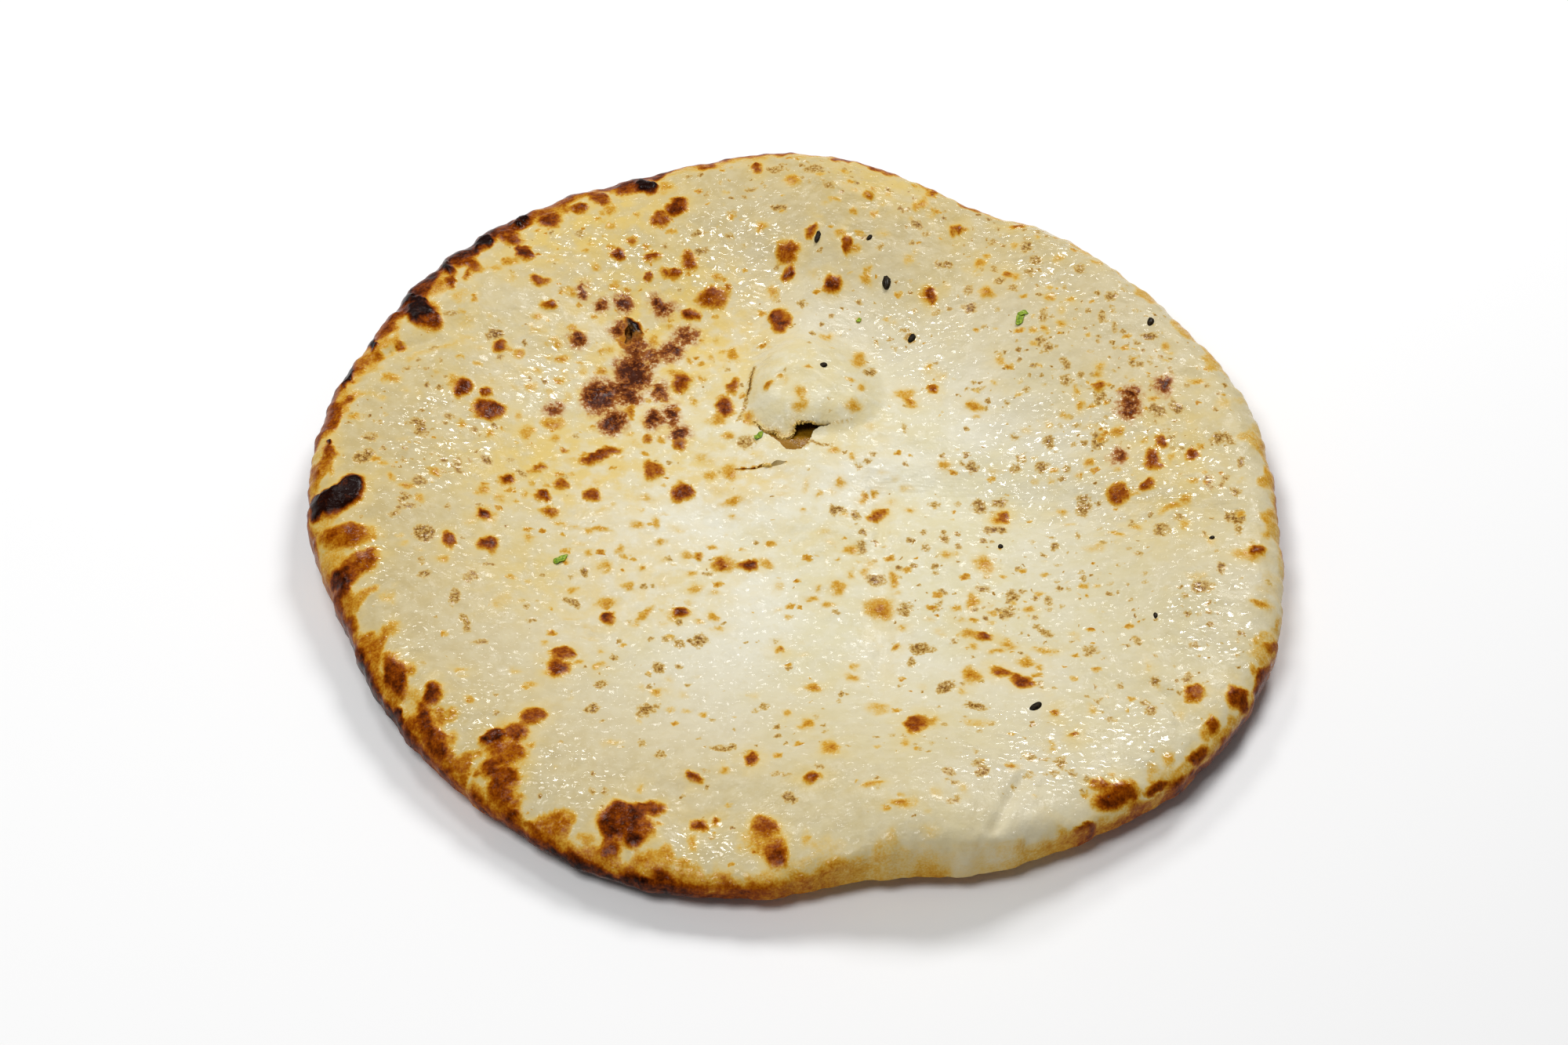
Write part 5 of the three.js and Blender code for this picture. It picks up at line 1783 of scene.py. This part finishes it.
def herb_shape(length, width, seed):
    """Points and faces of one curled shred of leaf lying along x."""
    ring, bearing = ring_points(HERB_RINGS)
    heading = np.radians(bearing)
    reach = ring / HERB_RINGS
    ragged_edge = 1.0 + 0.16 * np.sin(5 * heading + seed) * reach
    x = length / 2 * reach * np.cos(heading)
    y = width / 2 * reach * np.sin(heading) * ragged_edge * (1.0 - 0.25 * np.cos(heading))
    curl = 0.1 * width * np.cos(2.5 * x / length * np.pi + seed) + 0.35 * y * y / width
    half = HERB_THICKNESS / 2 * (1.0 - reach ** 4)
    upper = np.stack([x, y, curl + half], axis=1)
    lower = np.stack([x, y, curl - half], axis=1)
    return closed_shape(HERB_RINGS, upper, lower)


def herb_flecks():
    parts = []
    for number, (x, y, length, width, turn) in enumerate(HERB_FLECKS):
        points, faces = herb_shape(length, width, number)
        parts.append((laid_on_crust(points, x, y, turn, HERB_RISE), faces))
    return joined_piece("herb_flecks", parts)


herbs = herb_flecks()
herbs.data.materials.append(grainy_finish(
    "green_herb", grain=(0.7, 0.5), ends=(0.5, 0.95), tints=("55780a", "9db42c"),
    film=(2.5, 0.5, 0.3), relief=(0.4, 0.1), specular=0.2))
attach(herbs, "root")

# Floor, light and camera
# A plain pale studio table that the loaf lies on, under three soft lamps overhead and a faint
# light all round. The camera looks down at the loaf from the near side.

FLOOR_HALF = 3
FLOOR_CORNERS = [(-1, -1), (1, -1), (1, 1), (-1, 1)]
floor_mesh = bpy.data.meshes.new("floor")
floor_points = [(x * FLOOR_HALF, y * FLOOR_HALF, 0) for x, y in FLOOR_CORNERS]
floor_mesh.from_pydata(floor_points, [], [(0, 1, 2, 3)])
floor = bpy.data.objects.new("floor", floor_mesh)
bpy.context.collection.objects.link(floor)
floor_finish, _, floor_shader = new_finish("pale_table")
floor_shader.inputs["Base Color"].default_value = tint("fbfbfb")
floor_shader.inputs["Roughness"].default_value = 0.7
floor_mesh.materials.append(floor_finish)


# Lamps: name, place and size in metres, power in watts
LAMPS = [
    ("key", (-0.42, -0.42, 1.25), 0.6, 8.6),
    ("back_right", (0.42, 0.88, 1.05), 0.45, 9.8),
    ("back_left", (-0.45, 0.85, 1.0), 0.3, 4.0),
]
for lamp_name, lamp_place, lamp_size, lamp_power in LAMPS:
    light = bpy.data.lights.new(lamp_name, "AREA")
    light.shape = "DISK"
    light.size = lamp_size
    light.energy = lamp_power
    lamp = bpy.data.objects.new(lamp_name, light)
    lamp.location = lamp_place
    lamp.rotation_euler = (-Vector(lamp_place)).to_track_quat("-Z", "Y").to_euler()
    bpy.context.collection.objects.link(lamp)

world = bpy.data.worlds.new("studio")
world.use_nodes = True
surroundings = world.node_tree.nodes["Background"]
surroundings.inputs["Color"].default_value = (1, 1, 1, 1)
surroundings.inputs["Strength"].default_value = 0.14
bpy.context.scene.world = world
bpy.context.scene.view_settings.view_transform = "Standard"

camera_data = bpy.data.cameras.new("camera")
camera_data.lens = LENS
camera_data.sensor_width = SENSOR_WIDTH
camera_data.clip_end = 20.0
camera = bpy.data.objects.new("camera", camera_data)
target = Vector(SIGHT_TARGET) * MM
sight = Vector((0, -math.cos(SIGHT_ELEVATION), math.sin(SIGHT_ELEVATION)))
camera.location = target + sight * SIGHT_DISTANCE * MM
camera.rotation_euler = (-sight).to_track_quat("-Z", "Y").to_euler()
bpy.context.collection.objects.link(camera)
bpy.context.scene.camera = camera
